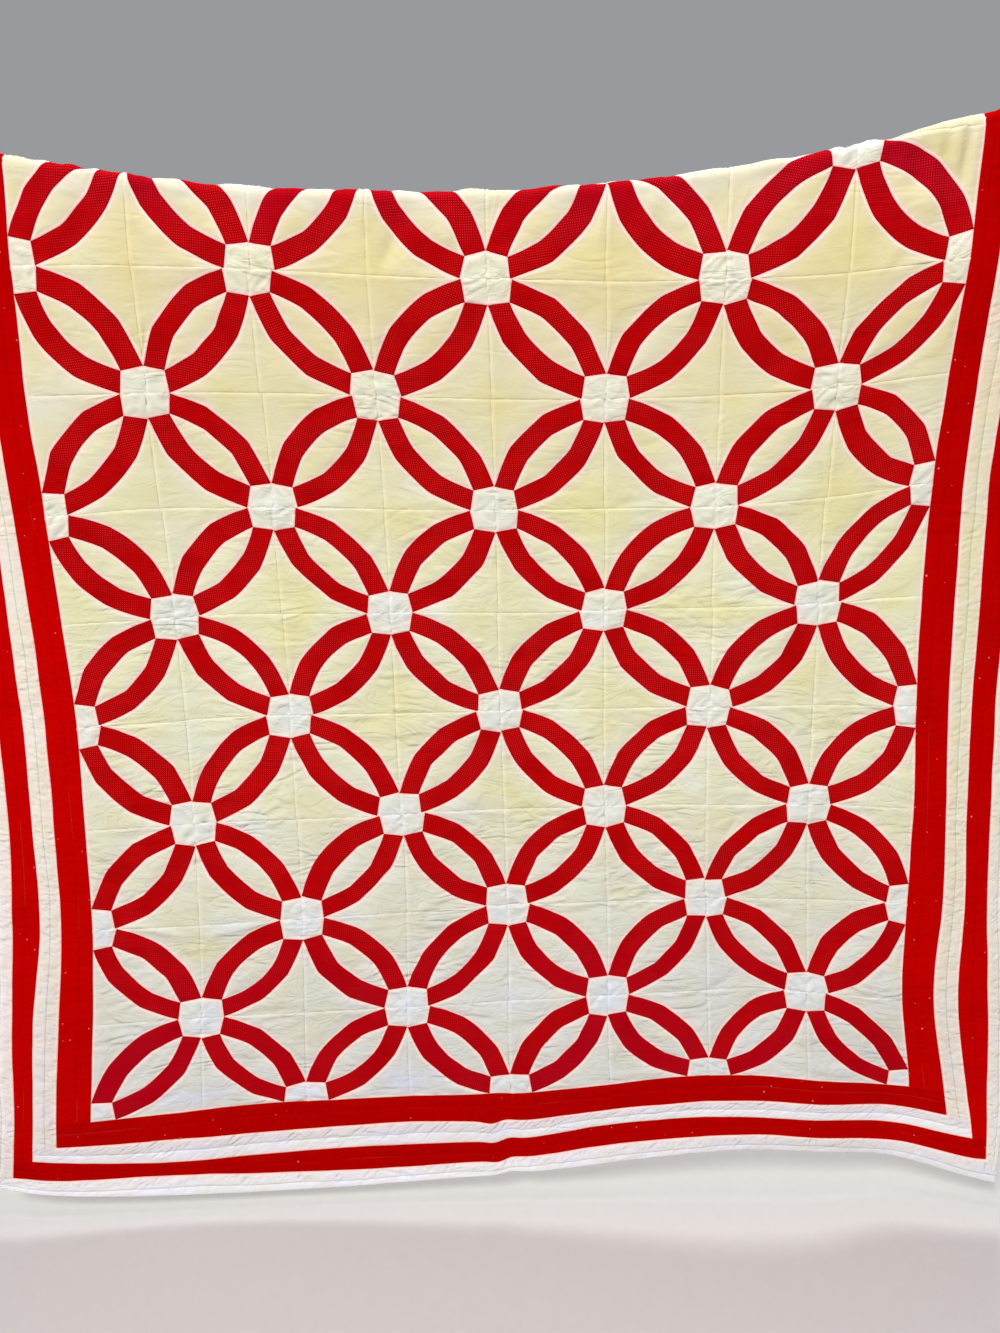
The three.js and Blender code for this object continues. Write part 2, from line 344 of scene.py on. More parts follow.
# The creases that show most: the two ends of each, across and along, its half width, and how high it is.
# Below zero it is a valley.
CREASES = (
    (875, 1540, 943, 1530, 8, -1.6), (1257, 1540, 1287, 1546, 8, -2), (1343, 1456, 1357, 1522, 7, -1.3),
    (1323, 1402, 1331, 1518, 7, 1.1), (1031, 1712, 1107, 1702, 8, -1.5), (1049, 1738, 1125, 1748, 7, -1.2),
    (1151, 1706, 1191, 1680, 8, -1.4), (1019, 1508, 1071, 1518, 7, -1.3), (763, 1770, 805, 1756, 8, -1.2),
    (1191, 1466, 1235, 1428, 7, -1.3), (1277, 1868, 1379, 1896, 8, -1.2), (1335, 1814, 1407, 1872, 8, -1.1),
    (1171, 1398, 1201, 1348, 8, -1.4), (73, 1520, 175, 1542, 7, 1.6), (217, 1540, 315, 1524, 7, 1.4),
    (143, 1556, 169, 1584, 9, -1.3), (287, 1706, 373, 1702, 8, -1.3), (437, 1508, 487, 1490, 7, 1.2),
    (593, 1518, 641, 1496, 7, 1.2), (365, 1356, 399, 1414, 9, -1.2), (275, 1330, 381, 1324, 7, 1.1),
    (45, 1854, 117, 1778, 7, -1.2), (85, 1894, 165, 1852, 8, -1.2), (307, 984, 351, 976, 8, -1.4),
    (403, 998, 443, 996, 8, -1.4), (669, 990, 727, 1010, 8, 1.3), (727, 1010, 745, 1046, 8, 1.3),
    (531, 830, 557, 798, 8, -1.2), (577, 828, 631, 802, 7, 1.1), (233, 804, 275, 778, 8, -1.3),
    (377, 1254, 429, 1212, 8, 1.2), (481, 1166, 523, 1154, 8, -1.1), (977, 752, 1035, 742, 7, -1.3),
    (959, 830, 999, 806, 8, -1.1), (1037, 938, 1095, 910, 8, -1.2), (1073, 992, 1179, 988, 7, -1.4),
    (1201, 924, 1265, 942, 7, -1.2), (997, 1112, 1037, 1142, 8, -1.6), (871, 1124, 907, 1104, 8, -1.1),
    (905, 1206, 937, 1164, 8, 1.2), (967, 1170, 985, 1204, 8, 1.1), (1351, 1150, 1397, 1182, 7, 1.2),
    (1391, 798, 1415, 756, 9, -1.4), (1311, 666, 1323, 744, 7, -1.2), (1417, 952, 1491, 940, 8, -1),
    (889, 340, 905, 376, 9, -1.1), (979, 438, 1011, 432, 8, -1.4), (905, 442, 937, 422, 8, -1.2),
    (1379, 384, 1401, 352, 7, 1), (1429, 550, 1493, 518, 8, 1), (615, 322, 593, 372, 8, -1.3),
    (19, 476, 25, 538, 9, -1.3), (43, 476, 47, 550, 9, 1), (205, 332, 219, 368, 8, -1),
    (1484, 186, 1480, 240, 7, 3), (1499, 184, 1494, 266, 7, -3.4), (1468, 186, 1462, 225, 7, -3),
)

# Where the cream cotton is yellower (+) or washed whiter (-): place across and along and half sizes, in
# blocks, and how strongly.
STAINS = (
    (3.1, 1.85, 0.25, 0.35, 1.0), (7.0, 1.9, 0.45, 0.4, 1.0), (7.6, 1.05, 0.22, 0.25, 1.5),
    (5.0, 1.85, 0.3, 0.3, 0.6), (2.45, 1.6, 0.15, 0.15, 0.6), (1.0, 2.0, 0.14, 0.4, 0.6),
    (2.75, 2.05, 0.2, 0.15, 0.6), (1.75, 3.0, 0.25, 0.15, 0.6), (2.1, 2.9, 0.3, 0.3, 0.4),
    (4.0, 3.0, 0.2, 0.2, 0.6), (5.9, 3.0, 0.3, 0.1, 0.5), (4.65, 4.0, 0.25, 0.2, 1.0),
    (4.9, 4.15, 0.3, 0.35, 0.7), (7.1, 3.85, 0.25, 0.2, 0.8), (7.15, 4.2, 0.15, 0.2, 0.5),
    (3.25, 4.1, 0.2, 0.15, 0.6), (2.2, 4.9, 0.25, 0.3, 0.9), (2.0, 5.3, 0.15, 0.2, 0.6),
    (5.8, 4.95, 0.3, 0.15, 0.8), (6.25, 5.05, 0.25, 0.1, 0.8), (3.8, 5.0, 0.2, 0.15, 0.5),
    (7.8, 5.0, 0.15, 0.15, 0.7), (5.3, 5.9, 0.2, 0.12, 0.8), (5.0, 6.0, 0.12, 0.4, 0.5),
    (3.0, 6.1, 0.3, 0.3, 0.6), (0.55, 6.05, 0.2, 0.12, 0.6), (6.9, 6.0, 0.15, 0.35, 0.5),
    (4.0, 6.85, 0.3, 0.2, 0.6), (4.2, 7.0, 0.2, 0.2, 0.5), (6.15, 7.0, 0.1, 0.25, 0.5),
    (2.0, 6.8, 0.25, 0.15, 0.5), (7.95, 7.2, 0.12, 0.25, 0.7), (1.0, 8.25, 0.3, 0.15, 1.0),
    (0.9, 7.9, 0.3, 0.2, 0.5), (5.15, 7.9, 0.2, 0.1, 0.9), (7.0, 7.9, 0.3, 0.2, 0.5),
    (1.6, 8.95, 0.2, 0.1, 0.5), (5.6, 9.4, 0.15, 0.12, 0.8), (0.1, 3.0, 0.25, 0.3, -1.0),
    (3.35, 3.75, 0.17, 0.12, -1.2), (6.3, 4.75, 0.2, 0.1, -1.2), (3.42, 5.03, 0.16, 0.12, -0.9),
    (4.35, 4.95, 0.14, 0.1, -0.7), (5.75, 3.05, 0.12, 0.08, -0.6), (1.3, 8.05, 0.14, 0.1, -0.9),
    (5.85, 6.75, 0.12, 0.15, -0.9), (3.5, 7.0, 0.16, 0.2, -0.8), (1.6, 7.15, 0.15, 0.25, -0.6),
    (2.5, 8.05, 0.18, 0.14, -0.8), (3.1, 9.8, 0.5, 0.15, -1.0), (1.0, 9.85, 0.5, 0.1, -0.8),
    (4.0, 9.0, 0.3, 0.2, -0.5), (6.0, 9.0, 0.3, 0.2, -0.5), (1.0, 6.2, 0.2, 0.2, -0.3),
    (6.4, 6.05, 0.12, 0.1, -0.6),
)


def placed_creases(flat):
    """The creases of the table, in millimetres: along each line the height is (1 - q / 2) e^(-q / 1.5) of its
    own, with q the squared distance from the line in half widths."""
    total = np.zeros(flat.shape[:-1])
    for first_across, first_along, last_across, last_along, width, height in CREASES:
        start = np.array([first_across, first_along], float)
        line = np.array([last_across, last_along]) - start
        away = flat - start
        share = np.clip((away * line).sum(-1) / (line**2).sum(), 0, 1)
        q = ((away - line * share[..., None]) ** 2).sum(-1) / width**2
        total += height * (1 - q / 2) * np.exp(-q / 1.5)
    return total * (1 + 0.5 * eased(950, 1500, flat[..., 1]))


def staining_and_crest_highlight(flat, near_red):
    """How yellow (+) or white (-) light cotton is: bells of the table, whiter beside red, where it has washed
    clean, and over the line a painted highlight that whitens it."""
    x, y = flat[..., 0] / BLOCK, flat[..., 1] / BLOCK
    total = -0.4 * np.exp(-near_red / 12) + 0 * x
    for column, row, wide, high, strength in STAINS:
        total += strength * np.exp(-(((x - column) / wide) ** 2) - ((y - row) / high) ** 2)
    # Painted highlight: within about 58 mm of the crest of the turn over the line the cotton is drawn whiter.
    from_crest = np.abs(flat[..., 1] - turn_place(flat[..., 0])[2] + TURN_LENGTH / 2)
    return total - 1.6 * (1 - eased(14, 58, from_crest))


# How far the border seams lie outwards of where the pattern puts them, at thirteen even places from the head
# (or the left) to the foot (or the right), in millimetres, from the pieced middle's edge out to the hem.
WANDERS = {
    "left": (
        (0, 0, 0, 3, 9, 5, 4, 0, 2, -1, 3, 8, 8), (0, 0, 0, 2, 4, 0, -3, -2, -2, -3, 6, 11, 5),
        (0, 0, -4, -8, -10, -11, -5, -5, -5, -7, 10, 11, 8),
        (0, 0, 0, -3, -5, -7, -8, -7, -9, -3, 2, -2, -2), (0, 0, 0, 0, 0, 0, -2, 0, -2, 0, 1, 0, 0)),
    "right": (
        (0, 0, 0, -4, -8, -10, -7, -1, 8, 3, -8, 10, 10),
        (0, -8, -16, -18, -17, -14, -7, 0, 10, 12, -7, 15, 32),
        (0, -5, -11, -14, -13, -12, -3, 1, 7, 12, -3, 14, 37),
        (0, 0, 0, -3, -6, -5, -3, -1, 6, 9, 8, 3, 10), (0, 0, 0, 0, 0, 0, 0, 0, 0, 2, 2, -4, -8)),
    "head": (
        (0,) * 13, (1, 0, -1, 1, 0, -1, 1, 2, 0, -2, 0, 1, 0), (1, 0, -1, 2, 0, -1, 1, 2, 1, -2, 0, 1, 0),
        (0, 1, -1, 2, 0, -1, 1, 0, -2, 1, 2, 0, 0), (0,) * 13),
    "foot": (
        (4, 7, 5, -2, -3, -4, 0, -3, -8, -6, 5, 8, 4), (-5, 2, 2, 0, -5, -6, 4, -4, -5, -4, 3, -1, -7),
        (-20, -2, 9, 3, -1, 1, 3, -9, -9, -3, 1, -1, -11),
        (-15, -6, -8, -3, 2, 4, 2, -6, -3, -3, 2, -2, -9), (-17, -6, 0, 0, 0, 0, 0, 0, 0, 0, 0, 1, 4)),
}

# A short pinch in the foot borders: its place across, its half width and its depth.
PINCH_PLACE, PINCH_WIDTH, PINCH_DEPTH = 720.0, 20.0, 7.0

# How far a border seam wavers over short distances, besides.
QUICK_WANDER = 0.8


def side_wander(side, out, run):
    """How far a point that lies out millimetres outside the pieced middle moves outwards: the wanders of the
    seams at its place along the side, joined by straight lines from seam to seam, and fading away over one
    block inside the pieced middle."""
    length = FIELD_LENGTH if side in UPRIGHT else FIELD_WIDTH
    places = np.linspace(-BORDER_TOTAL, length + BORDER_TOTAL, len(WANDERS[side][0]))
    level = np.clip(np.interp(out, BORDER_SEAMS, range(len(BORDER_SEAMS))), 0, len(BORDERS))
    moved = 0
    for seam, row in enumerate(WANDERS[side]):
        quick = QUICK_WANDER * soft_noise(run / 70, seam * 5.1 + 0.5 + 0 * run, 41)
        here = through(places, row, run) + (quick if seam < len(BORDERS) else 0)
        if side == "foot" and 0 < seam < len(BORDERS):
            here = here + PINCH_DEPTH * np.exp(-(((run - PINCH_PLACE) / PINCH_WIDTH) ** 2))
        moved = moved + here * np.clip(1 - np.abs(level - seam), 0, 1)
    return moved * eased(-BLOCK, 0, out)


def drawn(flat):
    """The flat places after the borders' unevenness, which moves each point out from the middle of the quilt,
    or in towards it. The foot's left corner is rounded: its square of white goes to a quarter of a disc."""
    a, b = flat[..., 0], flat[..., 1]
    across = a - side_wander("left", -a, b) + side_wander("right", a - FIELD_WIDTH, b)
    along = b - side_wander("head", -b, a) + side_wander("foot", b - FIELD_LENGTH, a)
    white = BORDER_TOTAL - BORDER_SEAMS[-2]
    u = np.clip(-a - BORDER_SEAMS[-2], 0, white) / white
    v = np.clip(b - FIELD_LENGTH - BORDER_SEAMS[-2], 0, white) / white
    across = across + white * u * (1 - np.sqrt(1 - v * v / 2))
    along = along - white * v * (1 - np.sqrt(1 - u * u / 2))
    return np.stack([across, along], -1)


# ---------------------------------------------------------------------------------------------- meshes


def put_in_scene(name, data, place=(0, 0, 0), turn=(0, 0, 0)):
    """An object with the given data, in the scene."""
    made = bpy.data.objects.new(name, data)
    made.location, made.rotation_euler = place, turn
    bpy.context.scene.collection.objects.link(made)
    return made


def stops(fine, even):
    """Places from 0 to 1: fine ones close to both ends, and even ones between."""
    fine = np.array(fine)
    first = 2 * fine[-1] - fine[-2] if len(fine) > 1 else 2 * fine[-1]
    return np.concatenate([[0], fine, np.linspace(first, 1 - first, even), 1 - fine[::-1], [1]])


def grid_faces(flat):
    """The quads of separate grids, numbered one grid after another, turned to face out of the patchwork
    side: an outline that runs clockwise from across to along is reversed."""
    count, rows, columns = flat.shape[:3]
    corner = np.arange(count)[:, None, None] * rows * columns
    corner = corner + np.arange(rows - 1)[:, None] * columns + np.arange(columns - 1)
    quads = np.stack([corner, corner + 1, corner + columns + 1, corner + columns], -1)
    one, two = flat[:, 1:, 1:] - flat[:, :-1, :-1], flat[:, 1:, :-1] - flat[:, :-1, 1:]
    turned = (one[..., 0] * two[..., 1] - one[..., 1] * two[..., 0]).sum((1, 2)) < 0
    quads[turned] = quads[turned][..., ::-1]
    return quads.reshape(-1, 4)


def tucked(values, step=None):
    """Grids with one more row of points all round. With a step, each new point lies that far past the edge,
    in line with the grid; without one it repeats the edge's value."""
    wide = np.pad(values, [(0, 0), (1, 1), (1, 1)] + [(0, 0)] * (values.ndim - 3), mode="edge")
    if step is None:
        return wide
    for edge, inner in ((0, 2), (-1, -3)):
        for axis in (1, 2):
            lines = np.moveaxis(wide, axis, 0)
            away = lines[edge] - lines[inner]
            length = np.linalg.norm(away, axis=-1, keepdims=True)
            lines[edge] += away / np.maximum(length, 1e-6) * step
    return wide


def sheet_mesh(name, parts, material, replaced):
    """Makes one object of several sets of grids. Each set has flat places, heights above the cloth's front
    face, fabric and bake coordinates, and named values for the material, all on the same grid."""
    points, quads, fabrics, bakes, values = [], [], [], [], {}
    base = 0
    for part in parts:
        flat, height = part["flat"], part["height"]
        faces = grid_faces(flat)
        points.append(on_cloth(flat, part.get("lift", HALF) + height).reshape(-1, 3))
        quads.append(faces + base)
        fabrics.append(part["fabric"].reshape(-1, 2)[faces])
        bakes.append(part["bake"].reshape(-1, 2)[faces] + part.get("bake_shift", 0))
        for key, grid in part["values"].items():
            values.setdefault(key, []).append(np.broadcast_to(grid, height.shape).ravel())
        base += height.size
    points, quads = np.concatenate(points), np.concatenate(quads)
    mesh = bpy.data.meshes.new(name)
    mesh.vertices.add(len(points))
    mesh.vertices.foreach_set("co", points.ravel())
    mesh.loops.add(quads.size)
    mesh.loops.foreach_set("vertex_index", quads.ravel())
    mesh.polygons.add(len(quads))
    mesh.polygons.foreach_set("loop_start", np.arange(len(quads)) * 4)
    mesh.polygons.foreach_set("use_smooth", np.ones(len(quads), bool))
    mesh.update(calc_edges=True)
    for key, corners in (("Cloth", fabrics), ("OFBake", bakes)):
        layer = mesh.uv_layers.new(name=key)
        layer.uv.foreach_set("vector", np.concatenate(corners).astype(np.float32).ravel())
    mesh.uv_layers.active = mesh.uv_layers["Cloth"]
    for key, grids in values.items():
        attribute = mesh.attributes.new(key, "FLOAT", "POINT")
        attribute.data.foreach_set("value", np.concatenate(grids).astype(np.float32))
    mesh.materials.append(material)
    mesh.validate()
    piece = put_in_scene(name, mesh)
    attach(piece, "root")
    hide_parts(*replaced)
    return piece


# ---------------------------------------------------------------------------------------------- blocks


def uneven(shape, size):
    """Small random offsets, most within size, none past 2.2 times it."""
    return np.clip(RNG.normal(0, size / 1.6, shape), -2.2 * size, 2.2 * size)


# One draw of every unevenness for all blocks, in units of a block, so that each piece finds the same edges.
BLOCK_COUNT = BLOCKS_ACROSS * BLOCKS_ALONG
SLIP = CORNER_SLIP / BLOCK
SIDE_SPOTS = 0.215 + uneven((BLOCK_COUNT, 4), SLIP)
INNER_SPOTS = 0.186 + uneven((BLOCK_COUNT, 2, 2), SLIP)
BOWS = np.array([0.163, 0.122, 0.122, 0.163]) + uneven((BLOCK_COUNT, 4), 0.008)
KINK_SHARE = RNG.uniform(0.25, 0.75, (BLOCK_COUNT, 4))
KINK_PLACES = np.array([0.31, 0.69]) + uneven((BLOCK_COUNT, 4, 2), 0.035)
WAVES = uneven((BLOCK_COUNT, 4, 5), 0.0016)
SEAM_SLIPS = np.pad(uneven((BLOCKS_ALONG, BLOCKS_ACROSS - 1), ROW_SLIP), ((0, 0), (1, 1)))
BLOCK_TONES = RNG.uniform(0, 1, (BLOCK_COUNT, 7))
GRAIN_TURNS = RNG.normal(0, 0.16, (BLOCK_COUNT, 2))


def bowed(start, end, block, edge, t):
    """An edge of the ring from start to end, bowed sideways. The bow is 4t(1 - t) blended with three straight
    lengths between points of that curve, as hand-pieced curves turn out, and a few short waves."""
    t = t[None]
    kinks = KINK_PLACES[block, edge]
    first, second = kinks[:, :1], kinks[:, 1:]
    high_first, high_second = 4 * first * (1 - first), 4 * second * (1 - second)
    middle = high_first + (high_second - high_first) * (t - first) / (second - first)
    straight = np.minimum(np.minimum(high_first * t / first, middle), high_second * (1 - t) / (1 - second))
    share = KINK_SHARE[block, edge][:, None]
    bow = BOWS[block, edge][:, None] * (share * straight + (1 - share) * 4 * t * (1 - t))
    for k in range(WAVES.shape[-1]):
        bow = bow + WAVES[block, edge, k][:, None] * np.sin((k + 3) * math.pi * t)
    along = (end - start)[:, None]
    side = np.stack([along[..., 1], -along[..., 0]], -1)
    side = side / np.linalg.norm(side, axis=-1, keepdims=True)
    if edge >= 2:
        side = -side
    return start[:, None] + along * t[..., None] + side * bow[..., None]


def block_edges(block, t):
    """The corners and the four ring edges of each block, in block units, with its squares at (0, 0) and
    (1, 1): outer and inner edge of the arc towards (1, 0), then inner and outer edge of the other arc."""
    sides = SIDE_SPOTS[block]
    zero = np.zeros(len(block))
    one = zero + 1
    low_start, high_start = np.stack([sides[:, 0], zero], -1), np.stack([zero, sides[:, 1]], -1)
    low_end, high_end = np.stack([one, 1 - sides[:, 2]], -1), np.stack([1 - sides[:, 3], one], -1)
    inner_start, inner_end = INNER_SPOTS[block, 0], 1 - INNER_SPOTS[block, 1]
    corners = {
        "low": (low_start, low_end), "inner": (inner_start, inner_end), "high": (high_start, high_end)}
    rims = ("low", "inner", "inner", "high")
    return corners, [bowed(*corners[key], block, edge, t) for edge, key in enumerate(rims)]


def sewn(block, spots):
    """Block units to flat millimetres. Odd blocks are mirrored, the seams of a row slip sideways, and the
    seams between rows wander."""
    row, column = (block // BLOCKS_ACROSS)[:, None, None], (block % BLOCKS_ACROSS)[:, None, None]
    u, v = spots[..., 0], spots[..., 1]
    u = np.where((row + column) % 2, 1 - u, u)
    across = (column + u) * BLOCK + SEAM_SLIPS[row, column] * (1 - u) + SEAM_SLIPS[row, column + 1] * u

    def wander(seam):
        return SEAM_WANDER * soft_noise(across / 165, seam * 3.7 + 0.5, 21)

    inside_head, inside_foot = row > 0, row < BLOCKS_ALONG - 1
    along = (row + v) * BLOCK + wander(row) * (1 - v) * inside_head + wander(row + 1) * v * inside_foot
    return drawn(np.stack([across, along], -1))


def blocks_of(pair):
    """The blocks of two neighbouring rows."""
    return np.arange(2 * BLOCKS_ACROSS) + pair * 2 * BLOCKS_ACROSS


def blend(first, second, w):
    """Grid lines from one edge to another, w from 0 to 1."""
    return first[:, :, None] * (1 - w)[:, None] + second[:, :, None] * w[:, None]


def width_of(first, second):
    """Distance between two edges at each place along them, in millimetres, for every line of their grid."""
    return np.linalg.norm(first - second, axis=-1)[:, :, None] * BLOCK


def distance_to(points, path):
    """Shortest distance from grid points to the path of straight lengths, one path for each grid."""
    start, along = path[:, None, None, :-1], np.diff(path, axis=1)[:, None, None]
    away = points[..., None, :] - start
    share = np.clip((away * along).sum(-1) / (along**2).sum(-1), 0, 1)
    return np.sqrt(((away - along * share[..., None]) ** 2).sum(-1)).min(-1)


# Gap round what lies in a bake square, how far a tucked edge reaches there, how many lengths a strip is cut
# into for it, and the margin of a cell of its tables, as shares of the cell across and down.
BAKE_GAP = 4.0
BAKE_TUCK = 0.1
BAKE_LENGTHS = 7
CELL_MARGIN = (0.03, 0.04)


def flat_bake(flat, pair):
    """Bake coordinates that keep the flat layout: two rows of blocks, their right half below the left."""
    flat = tucked(flat, BAKE_TUCK)
    size = FIELD_WIDTH / 2 + 2 * BAKE_GAP
    half = (flat[..., 0].mean((1, 2)) > FIELD_WIDTH / 2)[:, None, None]
    u = flat[..., 0] - half * FIELD_WIDTH / 2 + BAKE_GAP
    v = flat[..., 1] - pair * 2 * BLOCK + half * (2 * BLOCK + BAKE_GAP / 2) + 0.75 * BAKE_GAP
    return np.stack([u, v], -1) / size


def cell_bake(first, second, lengths, table, half, count):
    """Bake coordinates that give each of count grids its own cell of a table, given as its columns and rows,
    in one half of the square. The grid's two measures run from 0 to the given lengths."""
    grid = np.stack(np.broadcast_arrays(first, second), -1)
    grid = tucked(np.broadcast_to(grid, (count, *grid.shape[1:])), TUCK) + 2 * TUCK
    share = grid / (np.array(lengths) + 4 * TUCK)
    margin = np.array(CELL_MARGIN)
    cell = np.arange(count)[:, None, None, None]
    cell = np.concatenate([cell % table[0], cell // table[0]], -1)
    return (cell + margin + (1 - 2 * margin) * share) / table * (1, 0.5) + (0, 0.5 * half)


# Places along an arc, its length, a width for its bake cell, and the length of a square's side.
ARC_ALONG = stops((0.005, 0.012, 0.026), 33)
ARC_LENGTH = 212.0
ARC_WIDTH = 30.0
SQUARE_ARM = 0.2 * BLOCK


def dressed(flat, height, values, bake, fabric=None):
    """A set of grids for one piece: places and heights with their tucked edges, bake coordinates, fabric
    coordinates in metres, and named values."""
    places = tucked(flat, TUCK)
    drop = np.zeros(places.shape[:3])
    drop[:, [0, -1]] = TUCK_DROP
    drop[:, :, [0, -1]] = TUCK_DROP
    return {
        "flat": places, "height": tucked(height) - drop, "bake": bake,
        "fabric": tucked(flat if fabric is None else fabric) * MM,
        "values": {key: tucked(np.broadcast_to(grid, height.shape)) for key, grid in values.items()}}


def rises(sizes):
    """How high a patch's edge, its swell and its creases are, in millimetres."""
    return -SEAM_SHARE * sizes.seam_depth / MM, sizes.patch_rise / MM, sizes.crease_rise / MM


def light_values(block, flat, tone, near_red, near_seam=20.0, pressed=0.0, washed_by=FAR):
    """What the finish of light cotton follows: distances to red and to other seams, where allowances lie
    under the face, staining with the painted highlight over the line, the patch's own tone, and the place
    down the quilt."""
    return {
        "near_red": near_red * MM, "near_seam": near_seam * MM, "pressed": pressed,
        "stain": staining_and_crest_highlight(flat, washed_by), "tone": BLOCK_TONES[block, tone][:, None, None],
        "fall": flat[..., 1] / FIELD_LENGTH}


def arc_parts(pair, sizes):
    """The red arcs: grids between the inner and outer edges of the rings. The face rises steeply from the
    seams, where the allowances lie under it, and creases run across the strip."""
    block = blocks_of(pair)
    floor, _, crease = rises(sizes)
    w = stops((0.04, 0.1), 5 + 4 * (pair == 0))
    s = ARC_ALONG[None, :, None] * ARC_LENGTH
    edges = block_edges(block, ARC_ALONG)[1]
    parts = []
    for side, (outer, inner) in enumerate(((edges[0], edges[1]), (edges[3], edges[2]))):
        flat = sewn(block, blend(inner, outer, w))
        edge = np.minimum(np.minimum(w, 1 - w) * width_of(outer, inner), np.minimum(s, ARC_LENGTH - s))
        creases = crease_noise(s / 19 + block[:, None, None] * 5.3, w[None, None] * 1.4 + side, 31)
        height = floor + 0.55 * (1 - np.exp(-edge / 1.5)) + 0.6 * crease * creases * eased(1, 8, edge)
        turn = GRAIN_TURNS[block, side][:, None, None]
        fabric = np.stack([
            flat[..., 0] * np.cos(turn) - flat[..., 1] * np.sin(turn),
            flat[..., 0] * np.sin(turn) + flat[..., 1] * np.cos(turn)], -1)
        values = {
            "near_seam": edge * MM, "tone": BLOCK_TONES[block, side][:, None, None],
            "fall": flat[..., 1] / FIELD_LENGTH}
        bake = cell_bake(s, w[None, None] * ARC_WIDTH, (ARC_LENGTH, ARC_WIDTH), (2, 8), side, len(block))
        parts.append(dressed(flat, height + rumple(flat), values, bake, fabric))
    return parts


def melon_part(pair, sizes):
    """The pointed ovals between the inner edges: swollen cushions with creases that slant across them."""
    block = blocks_of(pair)
    floor, rise, crease = rises(sizes)
    t = ARC_ALONG[1:-1]
    w = stops((0.03, 0.08), 9 + 4 * (pair == 0))
    edges = block_edges(block, t)[1]
    flat = sewn(block, blend(edges[1], edges[2], w))
    edge = np.minimum(w, 1 - w) * width_of(edges[1], edges[2])
    lean = t[None, :, None] * ARC_LENGTH + w[None, None] * 22
    creases = crease_noise(lean / 21 + block[:, None, None] * 3.1, w[None, None] * 0.9, 32)
    full = 1 - np.exp(-edge / 8)
    height = floor + 1.1 * rise * full + crease * (0.7 * creases + wash_creases(flat)) * full
    height = height + rumple(flat) + placed_creases(flat) * full
    values = light_values(block, flat, 2, edge, washed_by=edge)
    return dressed(flat, height, values, flat_bake(flat, pair))


def beside_sides(block, corner, to_u, to_v, near_red):
    """What the two straight sides at a block's corner are to a light patch: red cotton where the side lies on
    the edge of the pieced middle, and a seam elsewhere. Gives the distances to red and to a seam, and for
    each side whether it lies on that edge; last, which way the first one faces once mirrored."""
    row, column = block // BLOCKS_ACROSS, block % BLOCKS_ACROSS
    u_side = np.where((row + column) % 2, 1 - corner[0], corner[0])
    at_u = np.where(u_side == 0, column == 0, column == BLOCKS_ACROSS - 1)[:, None, None]
    at_v = (row == (0 if corner[1] == 0 else BLOCKS_ALONG - 1))[:, None, None]
    near_seam = np.minimum(np.where(at_u, FAR, to_u), np.where(at_v, FAR, to_v))
    for at_edge, distance in ((at_u, to_u), (at_v, to_v)):
        near_red = np.minimum(near_red, np.where(at_edge, distance, NO_RED))
    return near_red, near_seam, at_u, at_v, u_side[:, None, None]


def pressed_side(at_edge, is_under, distance, reach):
    """1 where the allowances of a side's seam lie under this patch, easing to 0 over the reach."""
    return np.where(at_edge, 0, is_under * (1 - eased(*reach, distance)))


def corner_parts(pair, sizes):
    """The concave cream pieces: grids from the outer edge of an arc to the two sides of the block behind it.
    Puckers run from the arc, fans of creases from both tips, and one side of each seam is padded by its
    allowance."""
    block = blocks_of(pair)
    floor, rise, crease = rises(sizes)
    t = ARC_ALONG[1:-1]
    half = t[None, :, None]
    s = half * ARC_LENGTH
    w = stops((0.012, 0.035, 0.07), 13 + 6 * (pair == 0))
    corners, edges = block_edges(block, t)
    parts = []
    rims = (edges[0], corners["low"], (1.0, 0.0)), (edges[3], corners["high"], (0.0, 1.0))
    for side, (line, (start, end), corner) in enumerate(rims):
        there = start[:, None] + (corner - start)[:, None] * np.minimum(2 * half, 1)
        there = there + (end - corner)[:, None] * np.maximum(2 * half - 1, 0)
        spots = blend(line, there, w)
        flat = sewn(block, spots)
        to_u, to_v = (np.abs(corner[axis] - spots[..., axis]) * BLOCK for axis in (0, 1))
        near_red, near_seam, at_u, at_v, u_side = beside_sides(
            block, corner, to_u, to_v, distance_to(spots * BLOCK, line * BLOCK))
        pressed = np.maximum(
            pressed_side(at_u, u_side == 0, to_u, (5, 8)), pressed_side(at_v, corner[1] == 0, to_v, (5, 8)))
        number = block[:, None, None] * 7.7 + side * 3.3
        folds = 0.9 * crease_noise(s / 13 + number, near_red / 55, 33) * np.exp(-near_red / 16)
        for tip in (start, end):
            away = (spots - tip[:, None, None]) * BLOCK
            reach = np.hypot(away[..., 0], away[..., 1])
            turn = np.arctan2(away[..., 1], away[..., 0])
            folds = folds + crease_noise(turn * 5.5 + number, reach / 90, 34) * np.exp(-(reach / 75) ** 2)
        folds = crease * (folds + 1.1 * wash_creases(flat)) + placed_creases(flat)
        full = (1 - np.exp(-near_red / 10)) * (1 - 0.5 * np.exp(-near_seam / 2))
        height = floor + rise * full + folds * eased(0, 9, near_red)
        height = height + 0.5 * pressed * eased(0, 1.5, near_seam) + rumple(flat)
        values = light_values(block, flat, 3 + side, near_red, near_seam, pressed, near_red)
        parts.append(dressed(flat, height, values, flat_bake(flat, pair)))
    return parts


def cream_parts(pair, sizes):
    """All the cream patches of two rows."""
    return [melon_part(pair, sizes), *corner_parts(pair, sizes)]


